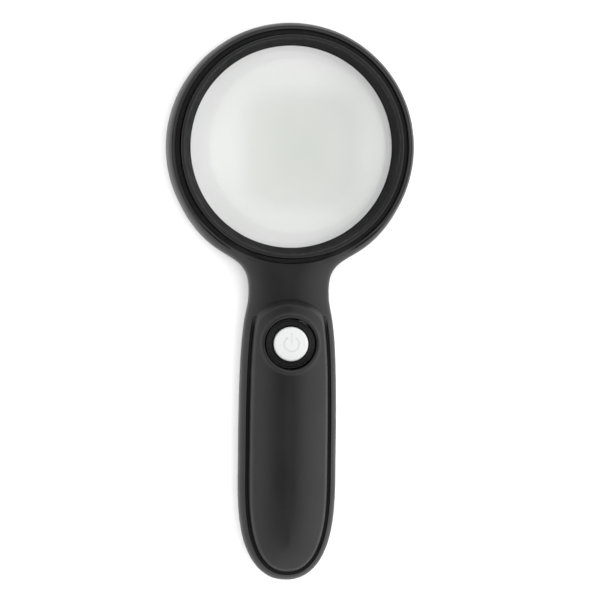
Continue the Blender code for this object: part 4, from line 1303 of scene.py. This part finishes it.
def makeSeal():
    centre = middle("button_seal_ring")
    outer = high("button_seal_ring").x
    inner = high("button_cap").x + seal["gap"]
    base = low("button_seal_ring").z
    shoulder = high("button_seal_ring").z - seal["drop"]
    profile = [(inner, base), (outer, base), (outer, shoulder)]
    for k in range(1, seal["steps"]):
        t = k / seal["steps"]
        rise = seal["ripple"] * math.cos(
            2 * math.pi * seal["waves"] * t
        ) + seal["crown"] * math.sin(math.pi * t)
        profile.append((outer + (inner - outer) * t, shoulder + seal["lift"] + rise))
    profile.append((inner, shoulder))
    return meshObject("sealRing", turned(profile, centre, 120), finishes["rubber"], 40, recalc=True)


diffuser = {"width": 3.2 * mm, "corner": 0.3 * mm}


def makeDiffuser():
    centre = middle("lens")
    outer = high("led_diffuser_ring").x
    inner = outer - diffuser["width"]
    base, top = low("led_diffuser_ring").z, high("led_diffuser_ring").z
    corners = [(inner, base), (outer, base), (outer, top), (inner, top)]
    ring = turned(rounded(corners, diffuser["corner"]), centre, 200)
    return meshObject("diffuserRing", ring, finishes["frost"], 40, recalc=True)


cellSizes = {
    # shares of the radius or steps in from it, with the height over each end
    "foot": ((0.55, 0), (0.6, 0.12 * mm)),
    "footEdge": ((0.7 * mm, 0.12 * mm), (0.25 * mm, 0.05 * mm), (0, 0.35 * mm)),
    "headEdge": ((0, 1.3 * mm), (0.2 * mm, 1.0 * mm), (0.7 * mm, 0.95 * mm), (0.95 * mm, 1.15 * mm)),
    "nub": ((2.15 * mm, 1.15 * mm), (1.95 * mm, 0.7 * mm), (1.85 * mm, 0.1 * mm), (1.6 * mm, 0), (0, 0)),
}


def makeCell(node, name):
    c = cellSizes
    a, b = low(node), high(node)
    centre = middle(node)
    length = b.y - a.y
    radius = (b.x - a.x) / 2
    profile = [(0, 0)] + [(radius * share, up) for share, up in c["foot"]]
    profile += [(radius - step, up) for step, up in c["footEdge"]]
    profile += [(radius - step, length - down) for step, down in c["headEdge"]]
    profile += [(r, length - down) for r, down in c["nub"]]
    bm = turned(profile, Vector((0, 0, 0)), 72)
    cell = meshObject(name, bm, finishes[name], 35, recalc=True)
    left = name == "cellLeft"  # the two cells point opposite ways
    turn = Matrix.Rotation(-math.pi / 2 if left else math.pi / 2, 4, "X")
    start = Vector((centre.x, a.y if left else b.y, centre.z))
    cell.data.transform(Matrix.Translation(start) @ turn)
    return cell


def fit(piece, body, slotName, *nodes):
    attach(piece, body)
    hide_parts(*nodes)


makeCamera()
makeFloor()
makeLight()
print("stage ready")
fit(makeFrontShell(), "housing", "soft_touch_black", "front_shell")
fit(makeRearShell(), "housing", "soft_touch_black", "rear_shell")
doorPiece, dishY = makeDoor()
fit(doorPiece, "door", "soft_touch_black", "battery_door")
ribs = makeDoorRibs(dishY)
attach(ribs, "door")
print("casing made")
fit(makeCover(), "housing", "grip_black", "grip_cover")
fit(makeBezel(), "housing", "satin_black", "lens_bezel")
fit(makeLens(), "housing", "clear_lens", "lens")
fit(makeDiffuser(), "housing", "frosted_plastic", "led_diffuser_ring")
fit(makeSeal(), "housing", "black_rubber", "button_seal_ring")
fit(makeCap(), "button", "white_plastic", "button_cap")
print("lens and button made")
fit(makeScrews(), "housing", "plated_steel", *(f"housing_screw_{k}" for k in range(1, 5)))
lampBodies, lampDomes = makeLamps()
fit(lampBodies, "housing", "lamp_white", *(f"led_{k}" for k in range(1, 7)))
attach(lampDomes, "housing")
fit(makeCell("battery_left", "cellLeft"), "housing", "cell_wrap", "battery_left")
fit(makeCell("battery_right", "cellRight"), "housing", "cell_wrap", "battery_right")
fit(makeEndSpring("negative_spring_1", "endSpringLeft"), "housing", "plated_steel", "negative_spring_1")
fit(makeEndSpring("negative_spring_2", "endSpringRight"), "housing", "plated_steel", "negative_spring_2")
returnSpring = makeReturnSpring()
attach(returnSpring, "housing")
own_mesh(returnSpring)
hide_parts("button_spring")
print("inner pieces made")
carried = {
    "rubber": ["lens_gasket"],
    "whiteBoard": ["led_board_ring"],
    "greenBoard": ["main_board"],
    "chip": ["driver_chip", "switch_body"],
    "ferrite": ["inductor"],
    "aluminium": ["capacitor"],
    "white": ["switch_plunger"],
    "steel": ["contact_bridge", "contact_positive", "contact_negative", "board_screw_1", "board_screw_2"],
    "redLead": ["lead_battery_positive", "lead_led_positive"],
    "blackLead": ["lead_battery_negative", "lead_led_negative"],
}
for finishName, nodeNames in carried.items():
    for nodeName in nodeNames:
        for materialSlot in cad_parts[nodeName].material_slots:
            materialSlot.material = finishes[finishName]
print("finishes set")
